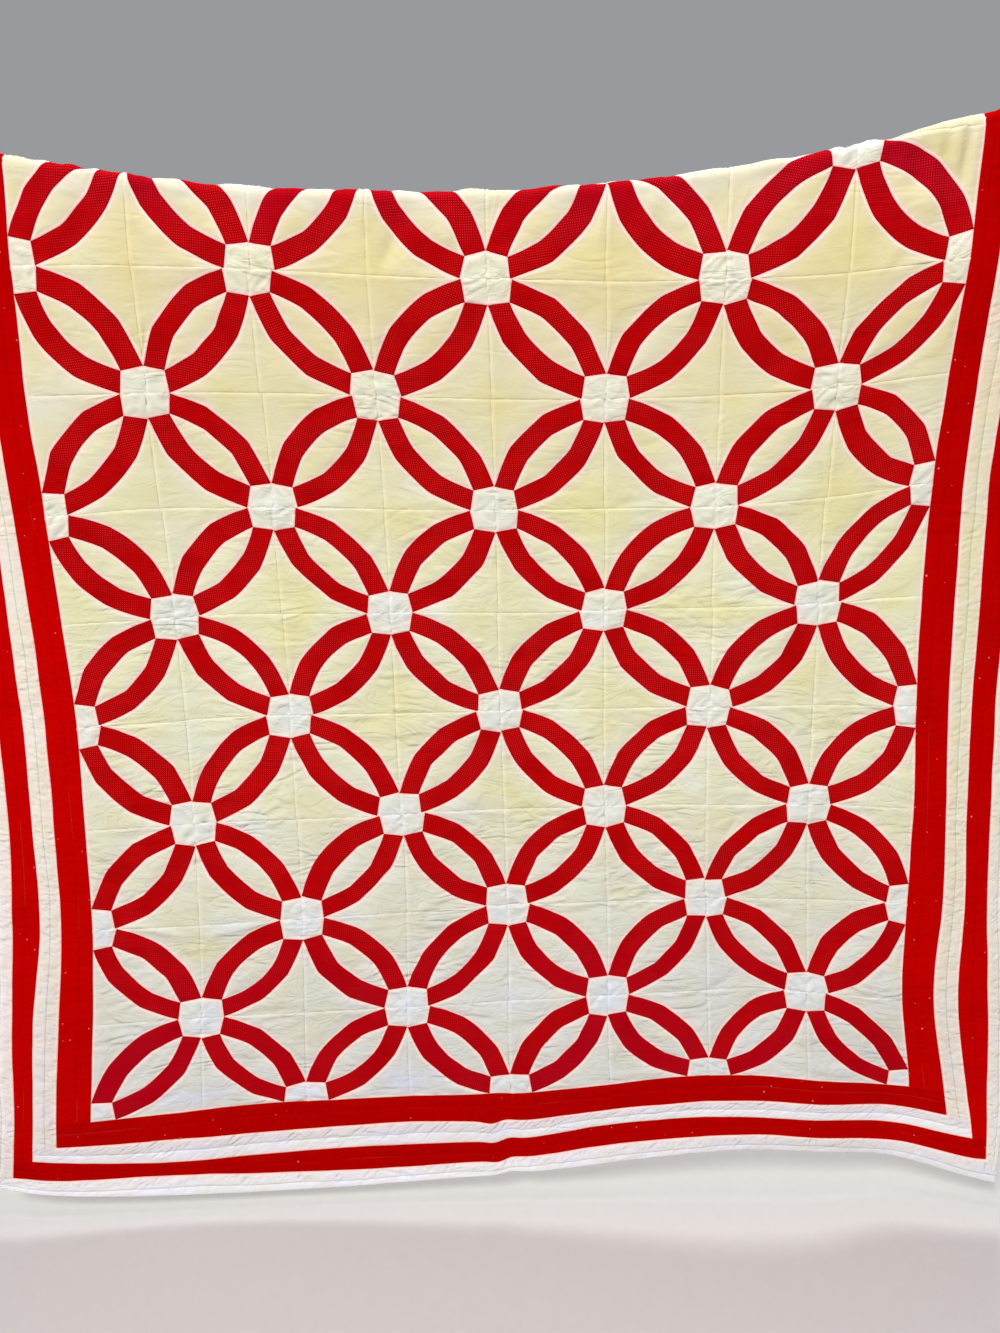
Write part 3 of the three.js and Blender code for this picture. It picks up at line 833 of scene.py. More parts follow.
def square_parts(pair, sizes):
    """The quarters of the squares at the rings' crossings: four-cornered grids with creases on the slant."""
    block = blocks_of(pair)
    floor, rise, crease = rises(sizes)
    s = stops((0.03, 0.08), 9)
    down, over = (grid[None] for grid in np.meshgrid(s * SQUARE_ARM, s * SQUARE_ARM, indexing="ij"))
    corners = block_edges(block, ARC_ALONG)[0]
    parts = []
    for end in (0, 1):
        home = np.full((len(block), 1, 2), float(end))
        low, high, inner = (corners[key][end][:, None] for key in ("low", "high", "inner"))
        near, far = (one * (1 - s)[:, None] + two * s[:, None] for one, two in ((home, low), (high, inner)))
        flat = sewn(block, blend(near, far, s))
        to_v, to_u = (over, down) if end == 0 else (down, over)
        near_red, near_seam, at_u, at_v, _ = beside_sides(
            block, (float(end), float(end)), to_u, to_v, SQUARE_ARM - np.maximum(down, over))
        is_right = flat[..., 0] > np.round(flat[..., 0] / BLOCK) * BLOCK
        pressed = np.maximum(
            pressed_side(at_u, is_right, to_u, (4.5, 7)), pressed_side(at_v, end == 0, to_v, (4.5, 7)))
        slant = np.where(block % 2 == end, 1, -1)[:, None, None]
        lean = (flat[..., 0] + slant * flat[..., 1]) / 15 + block[:, None, None] * 4.1 + end * 9.3
        creases = crease_noise(lean, (flat[..., 1] - slant * flat[..., 0]) / 45, 35)
        full = (1 - np.exp(-near_red / 5)) * (1 - 0.5 * np.exp(-near_seam / 1.5))
        height = floor + 0.8 * rise * full + 0.4 * pressed * eased(0, 1.5, near_seam)
        height = height + 1.6 * crease * creases * eased(0, 9, near_red) + rumple(flat)
        values = light_values(block, flat, 5 + end, near_red, near_seam, pressed)
        bake = cell_bake(down, over, (SQUARE_ARM, SQUARE_ARM), (6, 3), end, len(block))
        parts.append(dressed(flat, height, values, bake))
    return parts


# ---------------------------------------------------------------------------------------------- borders


# Steps between a strip's places along it and across it, and over the backing, which starts a little inside
# the hem.
RUN_STEP = 4.5
DEPTH_STEP = 6.0
BACKING_STEP = 13.0
BACKING_INSET = 0.35

# Closer places beside a seam, round the hem and along a quilting line, and how near it no even place comes.
SEAM_FINE = (0.8, 2.2, 5.0)
HEM_ANGLES = np.radians([90, 72, 54, 36, 18])
LINE_FINE = np.array([-4.0, -1.6, 0.0, 1.6, 4.0])
LINE_REACH = 5.5

# For each border, where its quilting line lies as a share of its width, how far its face swells, and how high
# its ripples are as shares of the crease rise.
STRIP_FORMS = ((0.42, 1.1, -0.4), (0.5, 1.7, -1.0), (0.5, 1.0, -0.35), (0.62, 1.5, -0.9))

# Places along a strip where two lengths of cotton are joined.
JOINS = {("foot", 3): 1404.0, ("left", 1): 861.0, ("right", 3): 905.0}


def strip_stops(low, high, step, ends, line=None):
    """Places along one side of a strip, the share of the cloth's thickness there, and how far the face is
    tucked down. At a seam the strip is tucked under; at the hem it rounds off to the cloth's middle. Places
    close together follow a quilting line."""
    even = np.linspace(low + SEAM_FINE[-1], high - SEAM_FINE[-1], max(2, round((high - low) / step)))
    if line is not None:
        even = np.sort(np.concatenate([even[np.abs(even - line) > LINE_REACH], line + LINE_FINE]))
    places, lifts, drops = [even], [np.ones(len(even))], [np.zeros(len(even))]
    for base, sign, end in ((low, 1, ends[0]), (high, -1, ends[1])):
        if end == "hem":
            new = np.append(HALF * (1 - np.sin(HEM_ANGLES)), SEAM_FINE[1] * 1.3)
            lift, drop = np.append(np.cos(HEM_ANGLES), 1.0), np.zeros(len(new))
        else:
            new = np.array((-TUCK, 0.0) + SEAM_FINE[:-1])
            lift, drop = np.ones(len(new)), np.array([TUCK_DROP] + [0.0] * (len(new) - 1))
        for held, extra in ((places, base + sign * new), (lifts, lift), (drops, drop)):
            held.insert(0 if sign > 0 else len(held), extra[::sign])
    return tuple(np.concatenate(x) for x in (places, lifts, drops))


def border_span(side, inner, outer):
    """A strip's flat corners, along its run and across its depth: sides run between the end strips, and ends
    run across the whole width."""
    length, width = (FIELD_LENGTH, FIELD_WIDTH) if side in UPRIGHT else (FIELD_WIDTH, FIELD_LENGTH)
    over = inner if side in UPRIGHT else outer
    depth = (width + inner, width + outer) if side in ("right", "foot") else (-outer, -inner)
    return (-over, length + over), depth


def strip_part(side, number, sizes):
    """One border strip as a grid: its length by its width. The face swells between its seams, is drawn in
    along the quilting line, and ripples run across it from that line."""
    inner, outer = BORDER_SEAMS[number], BORDER_SEAMS[number + 1]
    line_share, rise, ripple_share = STRIP_FORMS[number]
    floor, _, crease = rises(sizes)
    run, depth = border_span(side, inner, outer)
    upright, is_last = side in UPRIGHT, number == len(BORDERS) - 1
    outwards = side in ("right", "foot")
    outer_end = "hem" if is_last else "seam"
    sign = 1 if outwards else -1
    base = depth[0] - inner if outwards else 0
    line_out = inner + line_share * (outer - inner)
    run_at, run_lift, run_drop = strip_stops(*run, RUN_STEP, ("seam",) * 2 if upright else (outer_end,) * 2)
    deep_at, deep_lift, deep_drop = strip_stops(
        *depth, DEPTH_STEP, ("seam", outer_end) if outwards else (outer_end, "seam"), base + sign * line_out)
    r, d = np.meshgrid(run_at, deep_at, indexing="ij")
    lift = run_lift[:, None] * deep_lift
    drop = run_drop[:, None] + deep_drop
    out = sign * (d - base)
    share = ((out - inner) / (outer - inner)).clip(0, 1)
    to_line = np.abs(out - line_out)
    waver = 1.6 * (1 + is_last) * soft_noise(r / 90, number * 2.3 + 0 * r, 42)
    waver = waver * np.exp(-((to_line / 12) ** 2))
    flat = drawn(np.stack([d + waver, r] if upright else [r, d + waver], -1))[None]

    # An end strip's inner edge meets its own cotton beyond the strips at its ends, so no seam shows there.
    beyond = 0 if upright else np.maximum(np.maximum(-inner - r, r - FIELD_WIDTH - inner), 0)
    to_inner = np.hypot(np.maximum(out - inner, 0), beyond)
    to_outer = np.maximum(outer - out, 0)
    to_ends = FAR if upright else np.maximum(np.minimum(r - run[0], run[1] - r), 0)
    near_edge = np.minimum(np.minimum(to_inner, to_outer), to_ends)

    slant = 0.15 if upright else 0.8
    ripples = crease_noise((r + slant * out) / 11, out / 26 + number * 3, 43 + number)
    ripples = ripples * (np.exp(-to_line / 13) + 0.5 * np.exp(-near_edge / 9))
    slow = crease_noise((r - 2 * slant * out) / 26, out / 30, 47 + number)
    down = flat[0, ..., 1]
    strength = 0.3 + 0.7 * eased(650, 1350, down) + 0.4 * (1 - eased(0, 260, down))
    if side == "foot":
        strength = 1.15 - 0.55 * eased(0.35, 0.6, share)
    full = (1 - np.exp(-near_edge / 4)) * (1 - 0.8 * np.exp(-to_line / 1.8))
    height = floor + rise * full
    height = height + ripple_share * crease * strength * (ripples + 0.5 * slow) * eased(0, 5, near_edge)
    height = (height[None] + rumple(flat)) * lift - drop

    # Red strips meet a seam at both edges; light ones have red there, but for the last one's hem.
    near_red = to_inner if is_last else near_edge
    join = JOINS.get((side, number))
    values = {
        "near_line": to_line * MM, "share": share, "run": r * MM, "ripple": strength,
        "fall": down / FIELD_LENGTH}
    if BORDERS[number].endswith("red"):
        values["near_seam"] = near_red * MM
    else:
        near_seam = FAR if join is None else np.abs(r - join)
        values.update(near_seam=near_seam * MM, near_red=near_red * MM, pressed=0.0, tone=0.5)
        # The stain value holds stains and, on the side strips, the painted highlight where they turn over the
        # line.
        values["stain"] = staining_and_crest_highlight(flat, FAR)

    pitch, wide = (run[1] - run[0]) / BAKE_LENGTHS, outer - inner + 2 * BAKE_GAP
    size = max(pitch + 3 * BAKE_GAP, BAKE_LENGTHS * wide)
    middles = np.repeat((run_at[1:] + run_at[:-1]) / 2, len(deep_at) - 1)
    length = np.clip(np.floor((middles - run[0]) / pitch), 0, BAKE_LENGTHS - 1)
    return {
        "flat": flat, "height": height, "lift": HALF * lift[None], "fabric": flat * MM, "values": values,
        "bake": np.stack([r - run[0] + BAKE_GAP, out - inner + BAKE_GAP], -1)[None] / size,
        "bake_shift": np.stack([-length * pitch, length * wide], -1)[:, None] / size}


def backing_part():
    """The backing: one sheet on the rear face, drawn in a little everywhere, that rounds off to the cloth's
    middle along the hem. Wrinkles run from the quilting in it, as in the patchwork."""
    start = -BORDER_TOTAL + BACKING_INSET
    across_at, across_lift, _ = strip_stops(start, FIELD_WIDTH - start, BACKING_STEP, ("hem", "hem"))
    along_at, along_lift, _ = strip_stops(start, FIELD_LENGTH - start, BACKING_STEP, ("hem", "hem"))
    b, a = np.meshgrid(along_at, across_at, indexing="ij")
    flat = drawn(np.stack([a, b], -1))[None]
    lift = (along_lift[:, None] * across_lift)[None]
    quilting = 0.35 * np.cos(2 * math.pi * a / BLOCK) * np.cos(2 * math.pi * b / BLOCK)
    height = (0.6 * rumple(flat) + quilting[None] + 0.5 * crease_noise(a / 40, b / 30, 51)[None]) * lift
    bake = np.stack([a + BORDER_TOTAL, b + BORDER_TOTAL], -1)[None] / (FIELD_LENGTH + 2 * BORDER_TOTAL)
    return {
        "flat": flat, "height": height, "lift": -HALF * lift, "fabric": flat * MM, "bake": bake, "values": {}}


# ---------------------------------------------------------------------------------------------- finishes


class Nodes:
    """Short ways to add nodes to a tree. Sockets, numbers and colours can all be given as inputs."""

    def __init__(self, tree):
        self.tree, self.read = tree, {}

    def feed(self, socket, value):
        """Links another node's socket, or sets a value."""
        if isinstance(value, bpy.types.NodeSocket):
            self.tree.links.new(value, socket)
        elif socket.type == "RGBA" and len(value) == 3:
            socket.default_value = (*value, 1)
        else:
            socket.default_value = value

    def add(self, kind, *inputs, **settings):
        """A node of a kind with its settings and its first inputs, None for those left alone."""
        made = self.tree.nodes.new(kind)
        for key, value in settings.items():
            setattr(made, key, value)
        for k, value in enumerate(inputs):
            if value is not None:
                self.feed(made.inputs[k], value)
        return made

    def maths(self, operation, *inputs):
        return self.add("ShaderNodeMath", *inputs, operation=operation).outputs[0]

    def times(self, first, second):
        return self.maths("MULTIPLY", first, second)

    def plus(self, first, second):
        return self.maths("ADD", first, second)

    def less(self, first, second):
        return self.maths("SUBTRACT", first, second)

    def over(self, first, second):
        return self.maths("DIVIDE", first, second)

    def apart(self, first, second):
        """How far two values lie from each other."""
        return self.maths("ABSOLUTE", self.less(first, second))

    def rest(self, share):
        """What a share leaves of 1."""
        return self.less(1.0, share)

    def vectors(self, operation, *inputs):
        """Vector maths whose result is a vector, or a number where the operation measures one."""
        made = self.add("ShaderNodeVectorMath", *inputs, operation=operation)
        return made.outputs["Value" if operation in ("LENGTH", "DISTANCE") else "Vector"]

    def scaled(self, vector, by):
        """A vector times a number."""
        made = self.add("ShaderNodeVectorMath", vector, operation="SCALE")
        self.feed(made.inputs["Scale"], by)
        return made.outputs[0]

    def axes(self, vector):
        return self.add("ShaderNodeSeparateXYZ", vector).outputs

    def place(self, *values):
        return self.add("ShaderNodeCombineXYZ", *values).outputs[0]

    def mix(self, factor, first, second, blend_type="MIX"):
        made = self.add("ShaderNodeMix", factor, data_type="RGBA", blend_type=blend_type)
        self.feed(made.inputs[6], first)
        self.feed(made.inputs[7], second)
        return made.outputs[2]

    def tint(self, factor, colour, by):
        """Multiplies a colour by another one, as far as the factor says."""
        return self.mix(factor, colour, by, "MULTIPLY")

    def down(self, places, shades):
        """A colour that changes from shade to shade down the quilt, at the given shares of its length."""
        colour = shades[0]
        for start, end, shade in zip(places, places[1:], shades[1:]):
            colour = self.mix(self.between(self.value("fall"), start, end), colour, shade)
        return colour

    def noise(self, vector, scale, detail=2.0, roughness=0.5):
        return self.add("ShaderNodeTexNoise", vector, None, scale, detail, roughness).outputs[0]

    def between(self, value, low, high, start=0.0, end=1.0):
        """Start below low and end above high, eased between."""
        return self.add(
            "ShaderNodeMapRange", value, low, high, start, end, interpolation_type="SMOOTHSTEP").outputs[0]

    def within(self, value, low, high):
        """1 below low and 0 above high, eased between."""
        return self.between(value, low, high, 1.0, 0.0)

    def value(self, name):
        """A named value of the mesh, through one node for each name."""
        if name not in self.read:
            self.read[name] = self.add("ShaderNodeAttribute", attribute_name=name).outputs["Fac"]
        return self.read[name]

    def cloth(self):
        """The fabric coordinates, in metres."""
        return self.add("ShaderNodeUVMap", uv_map="Cloth").outputs[0]

    def group(self, tree, *inputs):
        return self.add("ShaderNodeGroup", *inputs, node_tree=tree).outputs[0]

    def bump(self, strength, reach, height, normal=None):
        """A normal bumped by heights, over another one if it is given."""
        made = self.add("ShaderNodeBump", strength, reach)
        self.feed(made.inputs["Height"], height)
        if normal is not None:
            self.feed(made.inputs["Normal"], normal)
        return made.outputs[0]


def effect(name, inputs, output, build):
    """A node group, made once. inputs are names and their defaults, None for a vector, and build returns the
    socket it puts out."""
    if name in bpy.data.node_groups:
        return bpy.data.node_groups[name]
    tree = bpy.data.node_groups.new(name, "ShaderNodeTree")
    for label, default in inputs.items():
        kind = "NodeSocketVector" if default is None else "NodeSocketFloat"
        socket = tree.interface.new_socket(name=label, in_out="INPUT", socket_type=kind)
        if default is not None:
            socket.default_value = default
    tree.interface.new_socket(name=output, in_out="OUTPUT", socket_type="NodeSocketFloat")
    start, end = tree.nodes.new("NodeGroupInput"), tree.nodes.new("NodeGroupOutput")
    tree.links.new(build(Nodes(tree), *start.outputs[:len(inputs)]), end.inputs[0])
    return tree


def plain_weave():
    """Heights of a plain weave: sin(x) sin(y), whose crests are the threads that pass over."""
    def build(nodes, vector, pitch):
        x, y, _ = nodes.axes(nodes.scaled(vector, nodes.over(math.pi, pitch)))
        crossed = nodes.times(nodes.maths("SINE", x), nodes.maths("SINE", y))
        return nodes.maths("MULTIPLY_ADD", crossed, 0.5, 0.5)
    return effect("plain weave", {"Vector": None, "Pitch": 0.0004}, "Height", build)


def pin_dots():
    """Round dots on a square grid: 1 within the radius of the middle of each cell, with a soft edge."""
    def build(nodes, vector, spacing, radius):
        cell = nodes.vectors("FRACTION", nodes.scaled(vector, nodes.over(1.0, spacing)))
        reach = nodes.over(radius, spacing)
        return nodes.within(nodes.vectors("DISTANCE", cell, (0.5, 0.5, 0.0)), reach, nodes.times(reach, 1.4))
    return effect("pin dots", {"Vector": None, "Spacing": 0.0037, "Radius": 0.0006}, "Mask", build)


def blotches():
    """Soft uneven patches of stain or fading: noise drawn to the ends of its range."""
    def build(nodes, vector, scale):
        return nodes.between(nodes.noise(vector, scale, 3.0, 0.55), 0.36, 0.66)
    return effect("blotches", {"Vector": None, "Scale": 6.0}, "Mask", build)


def seam_edge():
    """1 at a seam, falling to 0 at the given distance from it, wavering a little along it."""
    def build(nodes, vector, distance, width):
        waver = nodes.maths("MULTIPLY_ADD", nodes.noise(vector, 160.0, 1.0), 0.9, 0.55)
        reach = nodes.times(width, waver)
        return nodes.within(distance, nodes.times(reach, 0.35), reach)
    return effect("seam edge", {"Vector": None, "Distance": 0.0, "Width": 0.002}, "Mask", build)


def washed_creases():
    """Fine soft creases of washed cotton: narrow ridges where slow noise, drawn out sideways, passes its
    middle, a second set on the slant, and a third of short ones that gives way to them in patches."""
    def ridge(nodes, vector, turn, stretch, reach):
        shift = (turn, 1.3 * turn, 0.0)
        placed = nodes.add("ShaderNodeMapping", vector, shift, (0.0, 0.0, turn), (*stretch, 1.0)).outputs[0]
        level = nodes.add("ShaderNodeTexNoise", placed, None, 1.0, 1.5, 0.5)
        nodes.feed(level.inputs["Distortion"], 1.5)
        return nodes.within(nodes.apart(level.outputs[0], 0.5), 0.0, reach)

    def build(nodes, vector, amount):
        patch, other = (nodes.between(nodes.noise(vector, scale, 1.0), 0.46, 0.62) for scale in (6.5, 9.0))
        level = nodes.times(ridge(nodes, vector, 0.3, (7.0, 18.0), 0.18), patch)
        slant = nodes.times(ridge(nodes, vector, -0.75, (7.0, 22.0), 0.16), other)
        short = nodes.times(ridge(nodes, vector, 2.2, (18.0, 36.0), 0.12), 0.3)
        return nodes.times(nodes.plus(nodes.plus(level, slant), short), amount)
    return effect("washed creases", {"Vector": None, "Amount": 1.0}, "Height", build)


def gathers():
    """Fine ripples that run across a strip from its quilting line: soft puffs between narrow valleys, from
    noise that is short along the strip and long across it."""
    def build(nodes, run, share, lean, amount):
        along = nodes.maths("MULTIPLY_ADD", run, 74.0, nodes.times(share, lean))
        level = nodes.noise(nodes.place(along, nodes.times(share, 2.0)), 1.0, 1.0, 0.3)
        return nodes.times(nodes.between(nodes.apart(level, 0.5), 0.0, 0.34), amount)
    return effect("gathers", {"Run": 0.0, "Share": 0.5, "Lean": 1.0, "Amount": 1.0}, "Height", build)


def stitches():
    """Quilting stitches: short dashes of the given pitch, within a thread's reach of their line."""
    def build(nodes, run, distance, pitch):
        dash = nodes.within(nodes.apart(nodes.maths("FRACT", nodes.over(run, pitch)), 0.5), 0.16, 0.30)
        return nodes.times(dash, nodes.within(distance, 0.0004, 0.0012))
    return effect("stitches", {"Run": 0.0, "Distance": 0.01, "Pitch": 0.0042}, "Mask", build)


# Radii of the rings' inner and outer edges, in blocks.
RING_RADII = (0.83, 1.02)


def quilting_lines():
    """1 on the lines of quilting as they show on the back. In the pieced middle they follow the rings: two
    circles about each of two corners of a block, mirrored in every other block. Outside it they run round
    the border strips."""
    def build(nodes, vector):
        drift = nodes.add("ShaderNodeTexNoise", vector, None, 14.0, 2.0, 0.5).outputs["Color"]
        x, y, _ = nodes.axes(nodes.vectors("MULTIPLY_ADD", drift, (0.013,) * 3, vector))
        u, v = nodes.over(x, BLOCK * MM), nodes.over(y, BLOCK * MM)
        cell = nodes.plus(nodes.maths("FLOOR", u), nodes.maths("FLOOR", v))
        odd = nodes.maths("FLOORED_MODULO", cell, 2.0)
        u, v = nodes.maths("FRACT", u), nodes.maths("FRACT", v)
        here = nodes.plus(nodes.times(u, nodes.rest(odd)), nodes.times(nodes.rest(u), odd))
        rings = 1.0
        for spot in ((nodes.rest(here), v), (here, nodes.rest(v))):
            reach = nodes.vectors("LENGTH", nodes.place(*spot))
            for radius in RING_RADII:
                rings = nodes.maths("MINIMUM", rings, nodes.apart(reach, radius))
        out_x, out_y = (
            nodes.maths("MAXIMUM", nodes.times(axis, -1.0), nodes.less(axis, length * MM))
            for axis, length in ((x, FIELD_WIDTH), (y, FIELD_LENGTH)))
        out = nodes.maths("MAXIMUM", out_x, out_y)
        strips = 1.0
        for inner, outer, (line_share, _, _) in zip(BORDER_SEAMS, BORDER_SEAMS[1:], STRIP_FORMS):
            line = (inner + line_share * (outer - inner)) * MM
            strips = nodes.maths("MINIMUM", strips, nodes.apart(out, line))
        is_out = nodes.maths("GREATER_THAN", out, 0.0)
        rings = nodes.times(nodes.times(rings, BLOCK * MM), nodes.rest(is_out))
        return nodes.within(nodes.plus(nodes.times(strips, is_out), rings), 0.0, 0.0075)
    return effect("quilting lines", {"Vector": None}, "Mask", build)


WEAVE_HEIGHT = 0.0004


def cotton(name, colour_of, sizes, creases_of=None):
    """A cotton finish: colour_of(nodes, vector) gives its colour, and weave, fine rumples and creases its
    normal."""
    if name in bpy.data.materials:
        return bpy.data.materials[name]
    material = bpy.data.materials.new(name)
    material.use_nodes = True
    nodes = Nodes(material.node_tree)
    shader = material.node_tree.nodes["Principled BSDF"]
    vector = nodes.cloth()
    nodes.feed(shader.inputs["Base Color"], colour_of(nodes, vector))
    shader.inputs["Roughness"].default_value = 0.95
    shader.inputs["Specular IOR Level"].default_value = 0.01
    creases = creases_of(nodes, vector) if creases_of else nodes.group(washed_creases(), vector, 0.5)
    weave = nodes.group(plain_weave(), vector, sizes.thread_pitch)
    threads = nodes.maths("MULTIPLY_ADD", weave, 0.12, nodes.noise(vector, 95.0, 3.0, 0.6))
    creased = nodes.bump(1.0, sizes.crease_bump, creases)
    nodes.feed(shader.inputs["Normal"], nodes.bump(0.6, WEAVE_HEIGHT, threads, creased))
    return material


def beside(nodes, vector, name, width, strength=None):
    """The seam edge of a named distance, as strong as is said."""
    mask = nodes.group(seam_edge(), vector, nodes.value(name), width)
    return mask if strength is None else nodes.times(mask, strength)


def quilted(nodes, sizes):
    """The stitches of a strip's quilting line."""
    return nodes.group(stitches(), nodes.value("run"), nodes.value("near_line"), sizes.stitch_pitch)


def lower_creases(nodes, vector):
    """Creases that grow down the quilt."""
    return nodes.group(washed_creases(), vector, nodes.between(nodes.value("fall"), 0.2, 0.75, 0.35, 1.35))


def square_creases(nodes, vector):
    """Creases of the squares, much the same all over."""
    return nodes.group(washed_creases(), vector, 1.2)


def strip_creases(lean, height):
    """Creases of a border strip: its gathers over a little of the washed creases."""
    def creases_of(nodes, vector):
        amount = nodes.times(nodes.value("ripple"), height)
        ripples = nodes.group(gathers(), nodes.value("run"), nodes.value("share"), lean, amount)
        return nodes.plus(ripples, nodes.group(washed_creases(), vector, 0.6 * height))
    return creases_of


# Shares of the quilt's length at which its shades change over.
SHADE_PLACES = (0.2, 0.5, 1.0)

# Shades of the light border strips at the head, half way down and at the foot: yellower on the sides. The
# ends of the white border have a colour of their own.
BORDER_SHADES = {
    ("cream", "left"): ((0.86, 0.75, 0.58), (0.875, 0.80, 0.64), (0.80, 0.73, 0.66)),
    ("cream", "right"): ((0.84, 0.73, 0.53), (0.79, 0.73, 0.48), (0.79, 0.72, 0.63)),
    ("cream", "ends"): ((0.84, 0.80, 0.74), (0.88, 0.86, 0.84), (0.85, 0.83, 0.82)),
    ("white", "left"): ((0.88, 0.80, 0.68), (0.92, 0.86, 0.75), (0.88, 0.80, 0.74)),
    ("white", "right"): ((0.86, 0.78, 0.60), (0.79, 0.75, 0.56), (0.80, 0.76, 0.67)),
}

# Painted shade on the plain red: how bright each side's red is drawn at the head, half way down and at the
# foot.
RED_PAINTED_SHADE = {"left": (0.87, 1.0, 0.91), "right": (0.83, 0.88, 0.93), "head": (0.93,) * 3, "foot": (0.8,) * 3}


def light_cotton(
        name, shades, colours, sizes, stain=0.6, seam=0.4, creases_of=lower_creases, strip=None, end=None):
    """Cream or white cotton: its shades at the head, middle and foot, with yellow stains and whiter washed
    blotches over them, a painted highlight over the line, and lighter cotton, partly a painted highlight,
    where allowances lie under it. Beside red it has a faint blush, a pale rim and a line of red dye, and at
    other seams a thin dark line of painted shade. strip gives how a border's inner part is tinted, and its
    quilting line with painted shade in its ditch; end, how it is tinted at the end of its run."""
    def colour_of(nodes, vector):
        elsewhere = nodes.add("ShaderNodeMapping", vector, (3.1, 1.7, 0.4)).outputs[0]
        washed = nodes.group(blotches(), elsewhere, 13.0)
        colour = nodes.down(SHADE_PLACES, shades)
        fading = nodes.between(nodes.value("fall"), 0.5, 1.0, stain, 0.35 * stain)
        stained = nodes.times(nodes.group(blotches(), vector, 7.0), fading)
        colour = nodes.tint(stained, colour, (0.99, 0.95, 0.80))
        colour = nodes.tint(nodes.times(washed, 0.75), colour, (1.0, 1.03, 1.17))
        # The stain value: yellow stains above zero; below zero, whiter washed cotton and the painted
        # highlight over the line.
        uneven_edge = nodes.maths("MULTIPLY_ADD", nodes.noise(vector, 26.0, 3.0, 0.6), 1.4, 0.3)
        placed = nodes.times(nodes.value("stain"), uneven_edge)
        colour = nodes.tint(nodes.maths("MAXIMUM", placed, 0.0), colour, (0.99, 0.965, 0.78))
        whiter = nodes.maths("MAXIMUM", nodes.times(placed, -1.0), 0.0)
        colour = nodes.tint(whiter, colour, (1.0, 1.03, 1.22))
        colour = nodes.tint(nodes.times(nodes.value("tone"), 0.5), colour, (0.97, 1.0, 1.08))
        if strip is not None:
            colour = nodes.tint(nodes.within(nodes.value("share"), 0.42, 0.54), colour, strip)
            # Painted shade along the quilting line's ditch, darker still at its stitches.
            ditch_shade = beside(nodes, vector, "near_line", 0.0015, 0.30)
            ditch_shade = nodes.maths("MULTIPLY_ADD", quilted(nodes, sizes), 0.30, ditch_shade)
            colour = nodes.mix(ditch_shade, colour, (0.40, 0.37, 0.30))
        if end is not None:
            colour = nodes.tint(nodes.between(nodes.value("run"), 0.7, 1.35), colour, end)
        # Lighter where allowances lie under the face: partly less stain, partly a painted highlight on the
        # ridge they raise.
        colour = nodes.tint(nodes.times(nodes.value("pressed"), 0.8), colour, (1.10, 1.09, 1.14))
        # Painted shade: a thin dark line in the ditch of the other seams, shown in places.
        shown = nodes.between(nodes.noise(vector, 55.0, 1.0), 0.35, 0.6, 0.1, seam)
        colour = nodes.mix(beside(nodes, vector, "near_seam", 0.0012, shown), colour, (0.38, 0.34, 0.20))
        faint = nodes.maths("MULTIPLY_ADD", washed, 0.20, 0.06)
        colour = nodes.mix(beside(nodes, vector, "near_red", 0.018, faint), colour, (0.90, 0.68, 0.58))
        colour = nodes.mix(beside(nodes, vector, "near_red", sizes.rim_width), colour, colours.rim)
        return nodes.mix(beside(nodes, vector, "near_red", 0.0024, 0.75), colour, (1.0, 0.50, 0.44))
    return cotton(name, colour_of, sizes, creases_of)


def cream_material(colours, sizes):
    """Cream cotton of the pieced middle."""
    shades = colours.cream_head, colours.cream_middle, colours.cream_foot
    return light_cotton("cream cotton", shades, colours, sizes)


def square_material(colours, sizes):
    """White cotton of the squares."""
    shades = colours.white, (0.785, 0.785, 0.65), (0.72, 0.735, 0.71)
    return light_cotton("white cotton of the squares", shades, colours, sizes, 0.3, 0.12, square_creases)


def cream_border_material(colours, sizes, side):
    """Cream cotton of the borders, with a greyer inner half at the ends."""
    shades = BORDER_SHADES["cream", side if side in UPRIGHT else "ends"]
    inner, lean = ((0.98, 0.97, 0.95), 0.8) if side in UPRIGHT else ((0.90, 0.86, 0.87), 3.5)
    name = f"cream cotton of the {side} border"
    return light_cotton(name, shades, colours, sizes, 0.35, 0.4, strip_creases(lean, 1.2), inner)


def white_border_material(colours, sizes, side):
    """White cotton of the outer border, greyer towards the foot's right end."""
    shades = BORDER_SHADES.get(("white", side), (colours.border_white,) * 3)
    inner, end = (0.96, 0.95, 0.95), (0.86, 0.84, 0.83) if side == "foot" else None
    name = f"white cotton of the {side} border"
    return light_cotton(name, shades, colours, sizes, 0.3, 0.4, strip_creases(1.2, 1.1), inner, end)


def red_print_material(colours, sizes):
    """Red cotton printed with pin dots, pinker where the light has bleached it, and darkened by painted shade
    at its seams.
    """
    def colour_of(nodes, vector):
        fall = nodes.value("fall")
        shade = nodes.times(nodes.group(blotches(), vector, 16.0), 0.6)
        colour = nodes.mix(shade, colours.print_red, (0.36, 0.0, 0.001))
        ends = nodes.plus(nodes.between(fall, 0.72, 1.0, 0.0, 0.8), nodes.between(fall, 0.11, 0.2, 0.9, 0.0))
        pink = nodes.times(ends, nodes.maths("MULTIPLY_ADD", nodes.value("tone"), 0.8, 0.2))
        colour = nodes.mix(pink, colour, (0.38, 0.0, 0.010))
        dots = nodes.group(pin_dots(), vector, sizes.dot_spacing, sizes.dot_radius)
        worn = nodes.between(nodes.noise(vector, 12.0, 1.0), 0.35, 0.6, 0.35, 0.85)
        worn = nodes.times(worn, nodes.between(fall, 0.6, 0.95, 1.0, 0.55))
        colour = nodes.mix(nodes.times(dots, worn), colour, colours.dots)
        # Painted shade where the print turns down into its seams.
        return nodes.mix(beside(nodes, vector, "near_seam", 0.0026, 0.6), colour, colours.seam_shade_red)
    return cotton("red print", colour_of, sizes)


